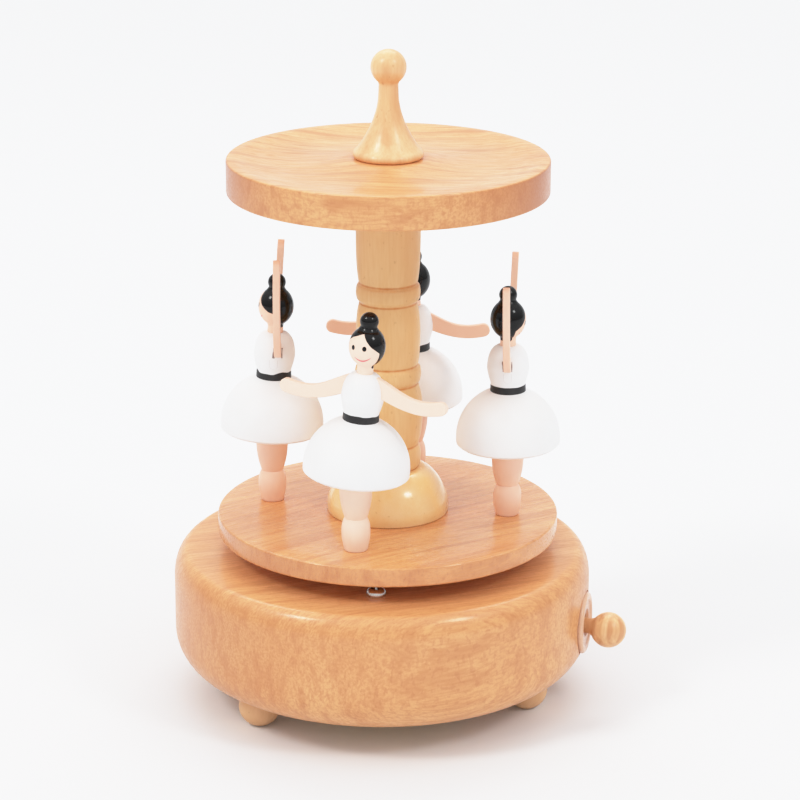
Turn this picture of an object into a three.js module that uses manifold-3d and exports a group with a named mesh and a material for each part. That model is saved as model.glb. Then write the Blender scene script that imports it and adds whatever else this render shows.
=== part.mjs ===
// A wind-up ballerina carousel music box: a round beech base on three ball feet, a turntable on a
// spindle that carries four wooden ballerinas, a turned column, a canopy disc and a finial, and a
// comb-and-cylinder movement under the top of the base, stopped by a knob on the side.
//
// Millimetres and degrees. The origin is on the table, in the middle of the object's footprint;
// +Z is up and +X points at the knob. The spindle stands at spindleX on the X axis.
import * as THREE from 'three';
import { mergeVertices } from 'three/addons/utils/BufferGeometryUtils.js';
import Module from 'manifold-3d';

const wasm = await Module();
wasm.setup();

// ---------------------------------------------------------------- driving dimensions

const drum = {
  radius: 61, height: 36.4, axisX: -6.8, topWall: 8,
  topEdge: { in: 4.5, down: 8 }, bottomEdge: { in: 14, up: 12.7 },
};
const spindleOffset = 1.7; // the spindle stands this far off the middle of the base, towards the knob
const foot = { radius: 6.1, flat: 0.3, inset: 15.6, azimuth: -127.6, count: 3, recess: 1 };
const footDowel = { radius: 2, length: 8 };
const underBase = 8.4; // table to the underside of the base

const turntable = { radius: 49.6, thickness: 5.6, aboveBase: 5.6, arris: 0.6 };
const columnFoot = { radius: 17.7, height: 13.4, topRadius: 9.3, skirtHeight: 2.7 };
const column = { height: 82.1, footRadius: 8.7, topRadius: 9.1, plainTop: 1.5, groove: 0.35 };
// The column's turned swellings from the bottom up: height, and radius at the lower end, middle and
// upper end. The last one takes up the rest of the column's height.
const swellings = [
  { height: 7.1, low: 9, middle: 9.68, high: 9 },
  { height: 18.4, low: 8.98, middle: 10.1, high: 8.85 },
  { height: 5.7, low: 8.9, middle: 9.6, high: 8.8 },
  { height: 18.5, low: 8.8, middle: 9.28, high: 8.42 },
  { height: 5.9, low: 8.5, middle: 9.3, high: 8.57 },
  { low: 8.57, middle: 9.3, high: 9.15 },
];
const columnTenon = { radius: 4, length: 5, lower: 3.5 };
const canopy = { radius: 45.95, thickness: 9.7, rim: 2.6, hollow: 1.8, arris: 0.5 };
const finial = {
  base: 9, lip: 10.1, lipHeight: 1.3, neck: 2.8, neckLength: 21.7, ball: 5.1, tenonRadius: 3, tenonLength: 4,
};
// Turned curves as shares of the way [out, up] between a piece's ends.
const footDome = [[0.893, 0.308], [0.726, 0.579], [0.464, 0.832], [0, 1]];
const finialBell = [
  [0.808, 0.093], [0.562, 0.226], [0.37, 0.353], [0.233, 0.466], [0.11, 0.603], [0.027, 0.76], [0, 1],
];

const doll = {
  circle: 35, legFoot: 3.4, legBulge: 4.12, bulgeHeight: 5.3, legWaist: 3.3, waistHeight: 9.5, legTop: 4.45,
  legLength: 22.2,
  skirtRadius: 15.05, hemDrop: 2.3, beltRadius: 5.15, beltHeight: 2.2, torsoRadius: 6, torsoHeight: 11.4,
  neckRadius: 2.3, neckLength: 2.4, headRadius: 5.15, headHalfHeight: 5.8, chinDrop: 0.5, bunRadius: 2.6,
};
const peg = { radius: 2, length: 4.8 }; // joins legs to skirt and torso to skirt
const neckPeg = { radius: 1.6, length: 4.3 };
const footPeg = { radius: 1.2, length: 3.2 }; // glued into the turntable
const arm = { thickness: 2, rootDepth: 2.8 };
// Above the legs a doll leans by an angle towards an azimuth; the legs' top is cut to the same slope.
const dolls = [
  { name: 'front_doll', azimuth: -91.6, faces: -101, pose: 'spread', lean: 4.9, towards: 13 },
  { name: 'right_doll', azimuth: 6.5, faces: 9.5, pose: 'raised_wide', lean: 0.7, towards: -167 },
  { name: 'back_doll', azimuth: 91, faces: 103, pose: 'spread', lean: 0, towards: 0 },
  { name: 'left_doll', azimuth: 179.5, faces: 193, pose: 'raised', lean: 2.4, towards: 13 },
];
// Each arm's middle line in the doll's own upright plane, as Bezier points [sideways, up from the top
// of the torso], and its half width at the shoulder and at the hand.
const armPoses = {
  spread: { line: [[2.8, -3.1], [9, -5.3], [13, -11.8], [22.4, -7.3]], shoulder: 2.7, hand: 2.05 },
  raised: { line: [[2.8, -4.7], [11.5, -5.3], [15, 7.7], [10.7, 22]], shoulder: 2.1, hand: 1.9 },
  raised_wide: { line: [[2.8, -4.7], [13, -5.8], [20, 5.7], [17.8, 19.7]], shoulder: 2.1, hand: 1.9 },
};

// The ring round the knob lies in a flat spot-face on the side of the base.
const knobRing = {
  radius: 9.05, thickness: 1.8, depth: 1.5, bore: 3.7, height: 17.2, round: 0.9, rim: 2.4, dish: 0.5,
};
const knob = { ball: 5.2, reach: 6.9, stem: 2.25, stemLength: 16, drop: 1.3, boreRadius: 4 };
const wire = { radius: 0.6, socketDepth: 5, flyGap: 2.3, wallSpace: 2.1 };

const movementAzimuth = -81.2; // the way the bedplate's nose points from the spindle
const bedplate = { thickness: 2.5, near: 16, halfWidth: 19.5, shoulder: 33, nose: 43.6, noseHalf: 5.5 };
const mountScrewInset = { nose: 2.6, near: 5, side: 5.5 }; // from the bedplate's edges
const coverScrewInset = { near: 3, shoulder: 9 };
const pocketGap = 0.6; // bedplate edge to the wall of the pocket in the base
const cover = { thickness: 2.5, ledge: 5, noseLedge: 2.4, gap: 0.3 }; // lies on a ledge round the pocket
const panScrew = { head: 2.8, headHeight: 2.1, shank: 1.5, slot: 0.7, slotDepth: 0.9 };
const coverScrew = { head: 2.4, headHeight: 1.6, shank: 1.1, length: 7 };
const combScrew = { head: 1.9, headHeight: 1.3, shank: 0.95, length: 5 };

const shaft = { pivot: 1.6, lower: 2, upper: 2.8, stud: 2.5, flange: 9, flangeThickness: 1.5, studLength: 14.6 };
const greatWheel = { teeth: 54, pitchRadius: 13, face: 1.6, disc: 2, below: 5.2, tip: 0.6, root: 0.7, hub: 4 };
const pinion = { teeth: 12, face: 2 };
const cylinder = {
  radius: 6.5, start: 17, length: 14.5, shaft: 1, pin: 0.5, pinWidth: 0.32, tracks: 18, pinsPerTrack: 2,
};
const lug = { thickness: 1.2, halfWidth: 3, below: 2.6, gap: 0.8 }; // carries the cylinder's shaft
const endWheel = { teeth: 36, pitchRadius: 7.56, face: 1.3, start: 33, tip: 0.42, root: 0.62 };
const worm = { pitchRadius: 1.64, tip: 0.46, root: 0.54, turns: 4 };
const fly = { radius: 4.8, height: 4, vane: 0.6, hub: 1.6, top: 19, shaft: 0.6 };
const housing = { radius: 11, wall: 0.8, top: 8, bottom: 23.7, floor: 1.5, post: 1.4, postOut: 16.4, strap: 5.2 };
const mainspring = { thickness: 0.35, turns: 4, inner: 3.1, outer: 9.7, gap: 1.2 };
const comb = { thickness: 0.8, toothWidth: 0.45, root: 13, back: 19, tipGap: 0.35 };
const bracket = { thickness: 1.2, halfWidth: 1.2, arm: 1, foot: 3.4, flyGap: 0.45 }; // carries the fly's lower pivot

const slip = 0.2; // radial play of a peg in its hole
const bearing = 0.15; // radial play of a turning shaft in its bearing
const wallGap = 0.05; // upright faces that meet
const past = 1; // how far a cutting shape runs past the face it cuts
const sides = { disc: 30, turned: 14, small: 10, pin: 8 }; // facets round each size of circle

// ---------------------------------------------------------------- heights and places

const spindleX = drum.axisX + spindleOffset;
const drumTop = underBase + drum.height;
const ceiling = drumTop - drum.topWall; // the movement hangs from here
const turntableTop = drumTop + turntable.aboveBase + turntable.thickness;
const canopyBottom = columnFoot.height + column.height; // above the turntable, as all of the carousel
const canopyTop = canopyBottom + canopy.thickness;
const knobHeight = underBase + knobRing.height;
const coverTop = underBase + cover.thickness;
const footMiddle = foot.radius - foot.flat;

const skirtMiddle = doll.legLength + doll.hemDrop;
const skirtTop = skirtMiddle + Math.sqrt(doll.skirtRadius ** 2 - doll.beltRadius ** 2);
const beltTop = skirtTop + doll.beltHeight;
const torsoTop = beltTop + doll.torsoHeight;
const headMiddle = torsoTop + doll.neckLength + doll.headHalfHeight - doll.chinDrop;

const wheelPitch = (2 * Math.PI * greatWheel.pitchRadius) / greatWheel.teeth;
const pinionRadius = (wheelPitch * pinion.teeth) / (2 * Math.PI);
const wheelUnderside = -(greatWheel.below + greatWheel.disc);
const cylinderZ = wheelUnderside - greatWheel.root - pinionRadius;
const wormLead = (2 * Math.PI * endWheel.pitchRadius) / endWheel.teeth;
const wormU = endWheel.start + endWheel.face / 2;
const wormV = endWheel.pitchRadius + worm.pitchRadius;

// ---------------------------------------------------------------- materials

const paint = (color, roughness, metalness = 0) => new THREE.MeshStandardMaterial({ color, roughness, metalness });
const beech = () => paint(0xd9a066, 0.45);
const paleWood = () => paint(0xe6c48f, 0.5);
const honeyWood = () => paint(0xe8bd72, 0.4);
const whitePaint = () => paint(0xf1efec, 0.5);
const skinPaint = () => paint(0xf0cdb5, 0.5);
const blackPaint = () => paint(0x1d1a1a, 0.2);
const zinc = () => paint(0xa9abad, 0.5, 0.9);
const steel = () => paint(0xb8bbbf, 0.3, 1);
const brass = () => paint(0xc9a54e, 0.3, 1);

// ---------------------------------------------------------------- shape helpers

const radians = THREE.MathUtils.degToRad;
const degrees = THREE.MathUtils.radToDeg;

// A solid of revolution about Z. The profile runs from the axis, outside and up, back to the axis.
function revolve(profile, segments) {
  const points = profile.map(([r, z]) => new THREE.Vector2(r, z));
  return new THREE.LatheGeometry(points, segments).rotateX(Math.PI / 2);
}

// Points on an ellipse round [r, z], from one angle to another in degrees; 0 is outward, 90 is up.
function arc([r, z], across, up, from, to, steps) {
  const points = [];
  for (let i = 0; i <= steps; i++) {
    const a = radians(from + ((to - from) * i) / steps);
    points.push([r + across * Math.cos(a), z + up * Math.sin(a)]);
  }
  return points;
}

// A smooth line through a few points.
function smooth(points, steps) {
  const curve = new THREE.SplineCurve(points.map(([r, z]) => new THREE.Vector2(r, z)));
  return curve.getPoints(steps).map((p) => [p.x, p.y]);
}

// Points given as shares [out, up], placed between two radii and two heights.
const between = (shares, inner, outer, bottom, top) => shares.map(([out, up]) => [
  inner + (outer - inner) * out, bottom + (top - bottom) * up,
]);

const outline = (points) => new THREE.Shape(points.map(([x, y]) => new THREE.Vector2(x, y)));

function extrude(shape, bottom, height, curveSegments = 8) {
  const geometry = new THREE.ExtrudeGeometry(shape, { depth: height, bevelEnabled: false, curveSegments });
  return geometry.translate(0, 0, bottom);
}

const box = (x0, x1, y0, y1, z0, z1) => new THREE.BoxGeometry(x1 - x0, y1 - y0, z1 - z0)
  .translate((x0 + x1) / 2, (y0 + y1) / 2, (z0 + z1) / 2);

const rod = (radius, bottom, top, segments = 16) => new THREE.CylinderGeometry(radius, radius, top - bottom, segments)
  .rotateX(Math.PI / 2)
  .translate(0, 0, (bottom + top) / 2);

function toSolid(geometry) {
  const bare = geometry.clone();
  bare.deleteAttribute('normal');
  bare.deleteAttribute('uv');
  const merged = mergeVertices(bare, 1e-4);
  return new wasm.Manifold(new wasm.Mesh({
    numProp: 3,
    vertProperties: merged.attributes.position.array,
    triVerts: new Uint32Array(merged.index.array),
  }));
}

function toGeometry(solid) {
  const mesh = solid.getMesh();
  const geometry = new THREE.BufferGeometry();
  geometry.setAttribute('position', new THREE.BufferAttribute(new Float32Array(mesh.vertProperties), 3));
  geometry.setIndex(new THREE.BufferAttribute(new Uint32Array(mesh.triVerts), 1));
  return geometry;
}

const join = (first, ...more) => toGeometry(more.reduce((all, g) => all.add(toSolid(g)), toSolid(first)));
const cut = (blank, ...tools) => toGeometry(tools.reduce((left, g) => left.subtract(toSolid(g)), toSolid(blank)));

function named(name, geometry, material) {
  const mesh = new THREE.Mesh(geometry, material);
  mesh.name = name;
  return mesh;
}

// ---------------------------------------------------------------- the base

// The bedplate's outline: a block with a nose that tapers to one mounting ear. The pocket and the
// cover take the same outline, grown by a clearance or a ledge.
function bedplateOutline(grow = 0, noseGrow = grow) {
  const du = bedplate.nose - bedplate.shoulder;
  const dv = bedplate.halfWidth - bedplate.noseHalf;
  const slope = Math.hypot(du, dv);
  const side = bedplate.halfWidth + grow;
  const shoulder = bedplate.shoulder + (grow * (slope - du)) / dv;
  const nose = bedplate.nose + noseGrow;
  const noseHalf = side - ((nose - shoulder) * dv) / du;
  const near = -bedplate.near - grow;
  return [[near, -side], [shoulder, -side], [nose, -noseHalf], [nose, noseHalf], [shoulder, side], [near, side]];
}

const mountScrewPlaces = [[bedplate.nose - mountScrewInset.nose, 0]];
for (const side of [1, -1]) {
  mountScrewPlaces.push([mountScrewInset.near - bedplate.near, side * (bedplate.halfWidth - mountScrewInset.side)]);
}
const coverScrewPlaces = [];
for (const u of [coverScrewInset.near - bedplate.near, bedplate.shoulder - coverScrewInset.shoulder]) {
  for (const side of [-1, 1]) coverScrewPlaces.push([u, side * (bedplate.halfWidth + pocketGap + cover.ledge / 2)]);
}

// Moves a shape from the movement's own frame (u along the bedplate, v across, spindle at 0) to the part's.
const toPart = (geometry, z = 0) => geometry.rotateZ(radians(movementAzimuth)).translate(spindleX, 0, z);

function footCentre(index) {
  const a = radians(foot.azimuth + (360 / foot.count) * index);
  const circle = drum.radius - foot.inset;
  return [drum.axisX + circle * Math.cos(a), circle * Math.sin(a)];
}

function makeDrum() {
  const { radius, topEdge, bottomEdge } = drum;
  const blank = revolve([
    [0, underBase],
    ...arc([radius - bottomEdge.in, underBase + bottomEdge.up], bottomEdge.in, bottomEdge.up, -90, 0, 4),
    ...arc([radius - topEdge.in, drumTop - topEdge.down], topEdge.in, topEdge.down, 0, 90, 3),
    [0, drumTop],
  ], sides.disc).translate(drum.axisX, 0, 0);
  const tools = [
    toPart(extrude(outline(bedplateOutline(pocketGap)), underBase - past, ceiling - underBase + past)),
    toPart(extrude(outline(bedplateOutline(pocketGap + cover.ledge, pocketGap + cover.noseLedge)),
      underBase - past, cover.thickness + past)),
    rod(shaft.upper + slip * 3, ceiling - past, drumTop + past, sides.turned).translate(spindleX, 0, 0),
  ];
  for (const [u, v] of mountScrewPlaces) {
    tools.push(toPart(rod(panScrew.shank + slip, ceiling - past, drumTop + past, sides.pin).translate(u, v, 0)));
  }
  for (const [u, v] of coverScrewPlaces) {
    const pilot = rod(coverScrew.shank + slip, coverTop - past, coverTop + coverScrew.length, sides.pin);
    tools.push(toPart(pilot.translate(u, v, 0)));
  }
  for (let i = 0; i < foot.count; i++) {
    const [x, y] = footCentre(i);
    const seat = Math.sqrt(foot.radius ** 2 - (underBase - footMiddle) ** 2) + slip * 2;
    tools.push(rod(seat, underBase - past, underBase + foot.recess, sides.turned).translate(x, y, 0));
    const hole = underBase + foot.recess + footDowel.length + slip;
    tools.push(rod(footDowel.radius + slip, underBase, hole, sides.small).translate(x, y, 0));
  }
  const face = drum.axisX + radius - knobRing.depth;
  const spotFace = rod(knobRing.radius + slip, face, face + knobRing.depth + past, sides.disc);
  const knobBore = rod(knob.boreRadius, spindleX + bedplate.halfWidth - past, face + past, sides.turned);
  for (const tool of [spotFace, knobBore]) tools.push(tool.rotateY(Math.PI / 2).translate(0, 0, knobHeight));
  return cut(blank, ...tools);
}

function makeFoot(index) {
  const top = underBase + foot.recess;
  const flat = degrees(-Math.asin(footMiddle / foot.radius));
  const shoulder = degrees(Math.asin((top - footMiddle) / foot.radius));
  const geometry = revolve([
    [0, 0],
    ...arc([0, footMiddle], foot.radius, foot.radius, flat, shoulder, 6),
    [footDowel.radius, top],
    [footDowel.radius, top + footDowel.length],
    [0, top + footDowel.length],
  ], sides.small);
  const mesh = named(`foot_${index + 1}`, geometry, paleWood());
  mesh.position.set(...footCentre(index), 0);
  return mesh;
}

// A pan-head screw with its head up and the underside of the head at z = 0.
function makePanScrew(size, length) {
  const blank = revolve([
    [0, -length],
    [size.shank, -length],
    [size.shank, 0],
    [size.head, 0],
    ...arc([size.head * 0.55, size.headHeight * 0.3], size.head * 0.45, size.headHeight * 0.7, 0, 90, 2),
    [0, size.headHeight],
  ], sides.pin);
  if (!size.slot) return blank;
  const reach = size.head * 0.55;
  const half = size.slot / 2;
  const slot = box(-reach, reach, -half, half, size.headHeight - size.slotDepth, size.headHeight + past);
  return cut(blank, slot, slot.clone().rotateZ(Math.PI / 2));
}

function makeBase() {
  const group = new THREE.Group();
  group.add(named('drum', makeDrum(), beech()));
  for (let i = 0; i < foot.count; i++) group.add(makeFoot(i));

  const coverGrow = pocketGap + cover.ledge - cover.gap;
  const coverShape = outline(bedplateOutline(coverGrow, pocketGap + cover.noseLedge - cover.gap));
  for (const [u, v] of coverScrewPlaces) {
    coverShape.holes.push(new THREE.Path().absarc(u, v, coverScrew.shank + slip, 0, 2 * Math.PI, true));
  }
  group.add(named('bottom_cover', toPart(extrude(coverShape, underBase, cover.thickness, 5)), paleWood()));
  coverScrewPlaces.forEach(([u, v], i) => {
    const geometry = makePanScrew(coverScrew, coverScrew.length).rotateX(Math.PI).translate(u, v, underBase);
    group.add(named(`cover_screw_${i + 1}`, toPart(geometry), steel()));
  });

  const { radius, thickness, depth, bore, round, rim, dish } = knobRing;
  const ring = revolve([
    [bore, 0],
    [radius, 0],
    ...arc([radius - round, thickness - round], round, round, 0, 90, 3),
    [radius - rim, thickness - dish],
    [bore, thickness - dish],
    [bore, 0],
  ], sides.disc);
  const ringX = drum.axisX + drum.radius - depth + wallGap;
  group.add(named('knob_ring', ring.rotateY(Math.PI / 2).translate(ringX, 0, knobHeight), paleWood()));
  return group;
}

// ---------------------------------------------------------------- the stop knob

function makeStop() {
  const group = new THREE.Group();
  const tip = knob.stemLength + knob.reach;
  const meets = degrees(-Math.acos(knob.stem / knob.ball));
  const turned = revolve([
    [0, wire.socketDepth],
    [wire.radius + slip, wire.socketDepth],
    [wire.radius + slip, 0],
    [knob.stem, 0],
    ...arc([0, tip], knob.ball, knob.ball, meets, 90, 7),
  ], sides.turned).rotateY(Math.PI / 2);
  const innerEnd = drum.axisX + drum.radius - knob.stemLength;
  const height = knobHeight - knob.drop;
  group.add(named('stop_knob', turned.translate(innerEnd, 0, height), paleWood()));

  // The wire runs in along the knob's line, then bends along the pocket wall to the fly.
  const along = (u, v, z) => new THREE.Vector3(u, v, 0)
    .applyAxisAngle(new THREE.Vector3(0, 0, 1), radians(movementAzimuth))
    .add(new THREE.Vector3(spindleX, 0, z));
  const bendX = spindleX + bedplate.halfWidth;
  const beside = bedplate.halfWidth - wire.wallSpace;
  const flyHeight = ceiling - fly.top - fly.height / 2;
  const lower = (share) => height + (flyHeight - height) * share;
  const path = new THREE.CatmullRomCurve3([
    new THREE.Vector3(innerEnd + wire.socketDepth - slip, 0, height),
    new THREE.Vector3((innerEnd + bendX) / 2, 0, height),
    new THREE.Vector3(bendX, 0, height),
    along(wormU * 0.16, beside, lower(0.13)),
    along(wormU * 0.42, beside - 0.2, lower(0.5)),
    along(wormU * 0.74, beside - 0.4, lower(0.9)),
    along(wormU, wormV + fly.radius + wire.flyGap, flyHeight),
  ]);
  const section = new THREE.Shape().absarc(0, 0, wire.radius, 0, 2 * Math.PI);
  const tube = new THREE.ExtrudeGeometry(section, { steps: 24, curveSegments: 4, extrudePath: path });
  group.add(named('stop_wire', tube, steel()));
  return group;
}

// ---------------------------------------------------------------- the movement

// A flat gear blank about Z: thin teeth with straight flanks.
function gearOutline(teeth, root, pitch, tip, width) {
  const points = [];
  const step = (2 * Math.PI) / teeth;
  for (let i = 0; i < teeth; i++) {
    for (const [r, half] of [[root, 0.62], [tip, 0.34]]) points.push([r, i * step - (half * width) / r]);
    for (const [r, half] of [[tip, 0.34], [root, 0.62]]) points.push([r, i * step + (half * width) / r]);
  }
  return outline(points.map(([r, a]) => [r * Math.cos(a), r * Math.sin(a)]));
}

const combScrewPlaces = [0.2, 0.8].map((share) => [
  cylinder.start + cylinder.length * share, -(comb.root + comb.back) / 2,
]);

function makeBedplate() {
  const shape = outline(bedplateOutline());
  const holes = [[0, 0, shaft.upper + bearing], [wormU, wormV, fly.shaft + bearing]];
  for (const [u, v] of mountScrewPlaces) holes.push([u, v, panScrew.shank + bearing]);
  for (const [u, v, r] of holes) shape.holes.push(new THREE.Path().absarc(u, v, r, 0, 2 * Math.PI, true));
  const plate = extrude(shape, -bedplate.thickness, bedplate.thickness, 8);
  const combTop = cylinderZ + comb.thickness / 2;
  const { start, length } = cylinder;
  const lugs = [start - lug.gap - lug.thickness, endWheel.start + endWheel.face + lug.gap].map((u) => cut(
    box(u, u + lug.thickness, -lug.halfWidth, lug.halfWidth, cylinderZ - lug.below, -bedplate.thickness + 0.5),
    rod(cylinder.shaft + bearing, u - past, u + lug.thickness + past, sides.small)
      .rotateY(Math.PI / 2).translate(0, 0, cylinderZ),
  ));
  const block = cut(
    box(start, start + length, -comb.back - 0.3, -comb.root - 0.2, combTop, -bedplate.thickness + 0.5),
    ...combScrewPlaces.map(([u, v]) => rod(combScrew.shank + bearing, combTop - past,
      combTop + combScrew.length, sides.small).translate(u, v, 0)),
  );
  return join(plate, ...lugs, block);
}

function trackPlace(index) {
  const margin = 0.9;
  return cylinder.start + margin + ((cylinder.length - 2 * margin) * index) / (cylinder.tracks - 1);
}

function makeComb() {
  const tip = -(cylinder.radius + cylinder.pin + comb.tipGap);
  const { start, length } = cylinder;
  const points = [[start, -comb.back], [start + length, -comb.back], [start + length, -comb.root]];
  for (let i = cylinder.tracks - 1; i >= 0; i--) {
    const u = trackPlace(i);
    const half = comb.toothWidth / 2;
    points.push([u + half, -comb.root], [u + half, tip], [u - half, tip], [u - half, -comb.root]);
  }
  points.push([start, -comb.root]);
  const shape = outline(points);
  for (const [u, v] of combScrewPlaces) {
    shape.holes.push(new THREE.Path().absarc(u, v, combScrew.shank + slip, 0, 2 * Math.PI, true));
  }
  return extrude(shape, cylinderZ - comb.thickness / 2, comb.thickness, 5);
}

function makeGreatWheel() {
  const outer = greatWheel.pitchRadius + 1.2;
  const bore = shaft.lower + bearing;
  const disc = revolve([
    [bore, wheelUnderside],
    [outer, wheelUnderside],
    [outer, -greatWheel.below],
    [greatWheel.hub, -greatWheel.below],
    [greatWheel.hub, -bedplate.thickness - 0.5],
    [bore, -bedplate.thickness - 0.5],
    [bore, wheelUnderside],
  ], sides.disc);
  const teeth = [];
  const half = greatWheel.face / 2;
  const depth = greatWheel.tip + greatWheel.root;
  for (let i = 0; i < greatWheel.teeth; i++) {
    const tooth = box(greatWheel.pitchRadius - half, greatWheel.pitchRadius + half, -0.21, 0.21,
      wheelUnderside - depth, wheelUnderside + 0.2);
    teeth.push(tooth.rotateZ(((i + 0.5) * 2 * Math.PI) / greatWheel.teeth));
  }
  return join(disc, ...teeth);
}

// The pinned cylinder lies along u, with the pinion at its inner end and the end wheel at its outer end.
function makeCylinder() {
  const { start, length, shaft: shaftRadius } = cylinder;
  const pinionStart = greatWheel.pitchRadius - pinion.face / 2;
  const shaftEnd = endWheel.start + endWheel.face + lug.gap + lug.thickness + 0.5;
  const pinionShape = gearOutline(pinion.teeth, pinionRadius - 0.75, pinionRadius, pinionRadius + 0.55, 0.5);
  const wheelShape = gearOutline(endWheel.teeth, endWheel.pitchRadius - endWheel.root, endWheel.pitchRadius,
    endWheel.pitchRadius + endWheel.tip, 0.46);
  const pieces = [
    rod(cylinder.radius, start, start + length, sides.turned),
    extrude(pinionShape, pinionStart, pinion.face),
    extrude(wheelShape, endWheel.start, endWheel.face).rotateZ(Math.PI / 2),
  ];
  for (let track = 0; track < cylinder.tracks; track++) {
    for (let k = 0; k < cylinder.pinsPerTrack; k++) {
      const turn = radians(track * 137.5 + (k * 360) / cylinder.pinsPerTrack + 11 * k * (track % 3));
      const [half, place] = [cylinder.pinWidth / 2, trackPlace(track)];
      pieces.push(box(cylinder.radius * 0.94, cylinder.radius + cylinder.pin, -half, half, place - half, place + half)
        .rotateZ(turn));
    }
  }
  const geometry = join(rod(shaftRadius, pinionStart - 0.4, shaftEnd, sides.small), ...pieces);
  return geometry.rotateY(Math.PI / 2).translate(0, 0, cylinderZ);
}

// One thread ridge wound round Z as a closed strip with four sides.
function wormThread() {
  const turnSteps = 10;
  const steps = worm.turns * turnSteps;
  const inner = worm.pitchRadius - worm.root - 0.15;
  const outer = worm.pitchRadius + worm.tip;
  const section = [[inner, -0.3], [outer, -0.12], [outer, 0.12], [inner, 0.3]];
  const positions = [];
  const index = [];
  for (let i = 0; i <= steps; i++) {
    const turns = i / turnSteps - worm.turns / 2;
    const a = turns * 2 * Math.PI - Math.PI / 2;
    const z = (turns + 0.5) * wormLead;
    for (const [r, dz] of section) positions.push(r * Math.cos(a), r * Math.sin(a), z + dz);
  }
  for (let i = 0; i < steps; i++) {
    for (let k = 0; k < 4; k++) {
      const [a, b] = [4 * i + k, 4 * i + ((k + 1) % 4)];
      index.push(a, a + 4, b, b, a + 4, b + 4);
    }
  }
  const last = 4 * steps;
  index.push(0, 1, 2, 0, 2, 3, last, last + 2, last + 1, last, last + 3, last + 2);
  const geometry = new THREE.BufferGeometry();
  geometry.setAttribute('position', new THREE.Float32BufferAttribute(positions, 3));
  geometry.setIndex(index);
  return geometry;
}

function makeFly() {
  const bottom = -fly.top - fly.height;
  const core = revolve([
    [0, bottom - 1.4],
    [fly.shaft, bottom - 1.4],
    [fly.shaft, bottom - 0.3],
    [fly.hub, bottom - 0.3],
    [fly.hub, -fly.top + 0.3],
    [worm.pitchRadius - worm.root, -fly.top + 0.6],
    [worm.pitchRadius - worm.root, -bedplate.thickness - 0.7],
    [fly.shaft, -bedplate.thickness - 0.7],
    [fly.shaft, -bedplate.thickness + 1],
    [0, -bedplate.thickness + 1],
  ], sides.turned);
  const vanes = box(-fly.radius, fly.radius, -fly.vane / 2, fly.vane / 2, bottom, -fly.top);
  return join(core, vanes, wormThread().translate(0, 0, cylinderZ)).translate(wormU, wormV, 0);
}

function makeGovernorBracket() {
  const { thickness, halfWidth } = bracket;
  const [near, far] = [wormV - halfWidth, wormV + halfWidth];
  const top = -bedplate.thickness;
  const armTop = -fly.top - fly.height - 2 * bracket.flyGap;
  const armBottom = armTop - bracket.arm;
  const postU = wormU - fly.radius - bracket.flyGap - thickness;
  const post = box(postU, postU + thickness, near, far, armBottom, top);
  const flange = box(postU - bracket.foot, postU + thickness / 2, near, far, top - bracket.arm, top);
  const lowerArm = box(postU + thickness / 2, wormU + fly.hub, near, far, armBottom, armTop);
  const pivot = rod(fly.shaft + bearing, armBottom - past, armTop + past, sides.small).translate(wormU, wormV, 0);
  return cut(join(post, flange, lowerArm), pivot);
}

function makeSpringHousing() {
  const { radius, wall, top, bottom, floor, post, postOut, strap } = housing;
  const pivotHole = shaft.pivot + bearing;
  const cup = revolve([
    [pivotHole, -bottom],
    [radius, -bottom],
    [radius, -top],
    [radius - wall, -top],
    [radius - wall, -bottom + floor],
    [pivotHole, -bottom + floor],
    [pivotHole, -bottom],
  ], sides.disc);
  const posts = [-1, 1].map((side) => rod(post, -bottom, -bedplate.thickness, sides.small)
    .translate(0, side * postOut, 0));
  const straps = [-1, 1].map((side) => {
    const [a, b] = [side * (radius - wall / 2), side * (postOut + post)];
    return box(-strap / 2, strap / 2, Math.min(a, b), Math.max(a, b), -bottom, -bottom + floor);
  });
  return join(cup, ...posts, ...straps);
}

function makeMainspring() {
  const steps = mainspring.turns * 12;
  const inside = [];
  const outside = [];
  for (let i = 0; i <= steps; i++) {
    const a = (i / steps) * mainspring.turns * 2 * Math.PI;
    const r = mainspring.inner + ((mainspring.outer - mainspring.inner) * i) / steps;
    inside.push([r * Math.cos(a), r * Math.sin(a)]);
    outside.unshift([(r + mainspring.thickness) * Math.cos(a), (r + mainspring.thickness) * Math.sin(a)]);
  }
  const floor = -housing.bottom + housing.floor + bearing * 2;
  return extrude(outline([...inside, ...outside].reverse()), floor, -housing.top - mainspring.gap - floor);
}

function makeSpindle() {
  const flangeTop = turntableTop - turntable.thickness - ceiling;
  const flangeBottom = flangeTop - shaft.flangeThickness;
  return revolve([
    [0, -housing.bottom - 0.3],
    [shaft.pivot, -housing.bottom - 0.3],
    [shaft.pivot, -housing.bottom + housing.floor + 0.2],
    [shaft.lower, -housing.bottom + housing.floor + 0.2],
    [shaft.lower, -bedplate.thickness - 0.4],
    [shaft.upper, -bedplate.thickness - 0.4],
    [shaft.upper, flangeBottom],
    [shaft.flange, flangeBottom],
    [shaft.flange, flangeTop],
    [shaft.stud, flangeTop],
    [shaft.stud, flangeTop + shaft.studLength],
    [0, flangeTop + shaft.studLength],
  ], sides.turned);
}

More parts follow.
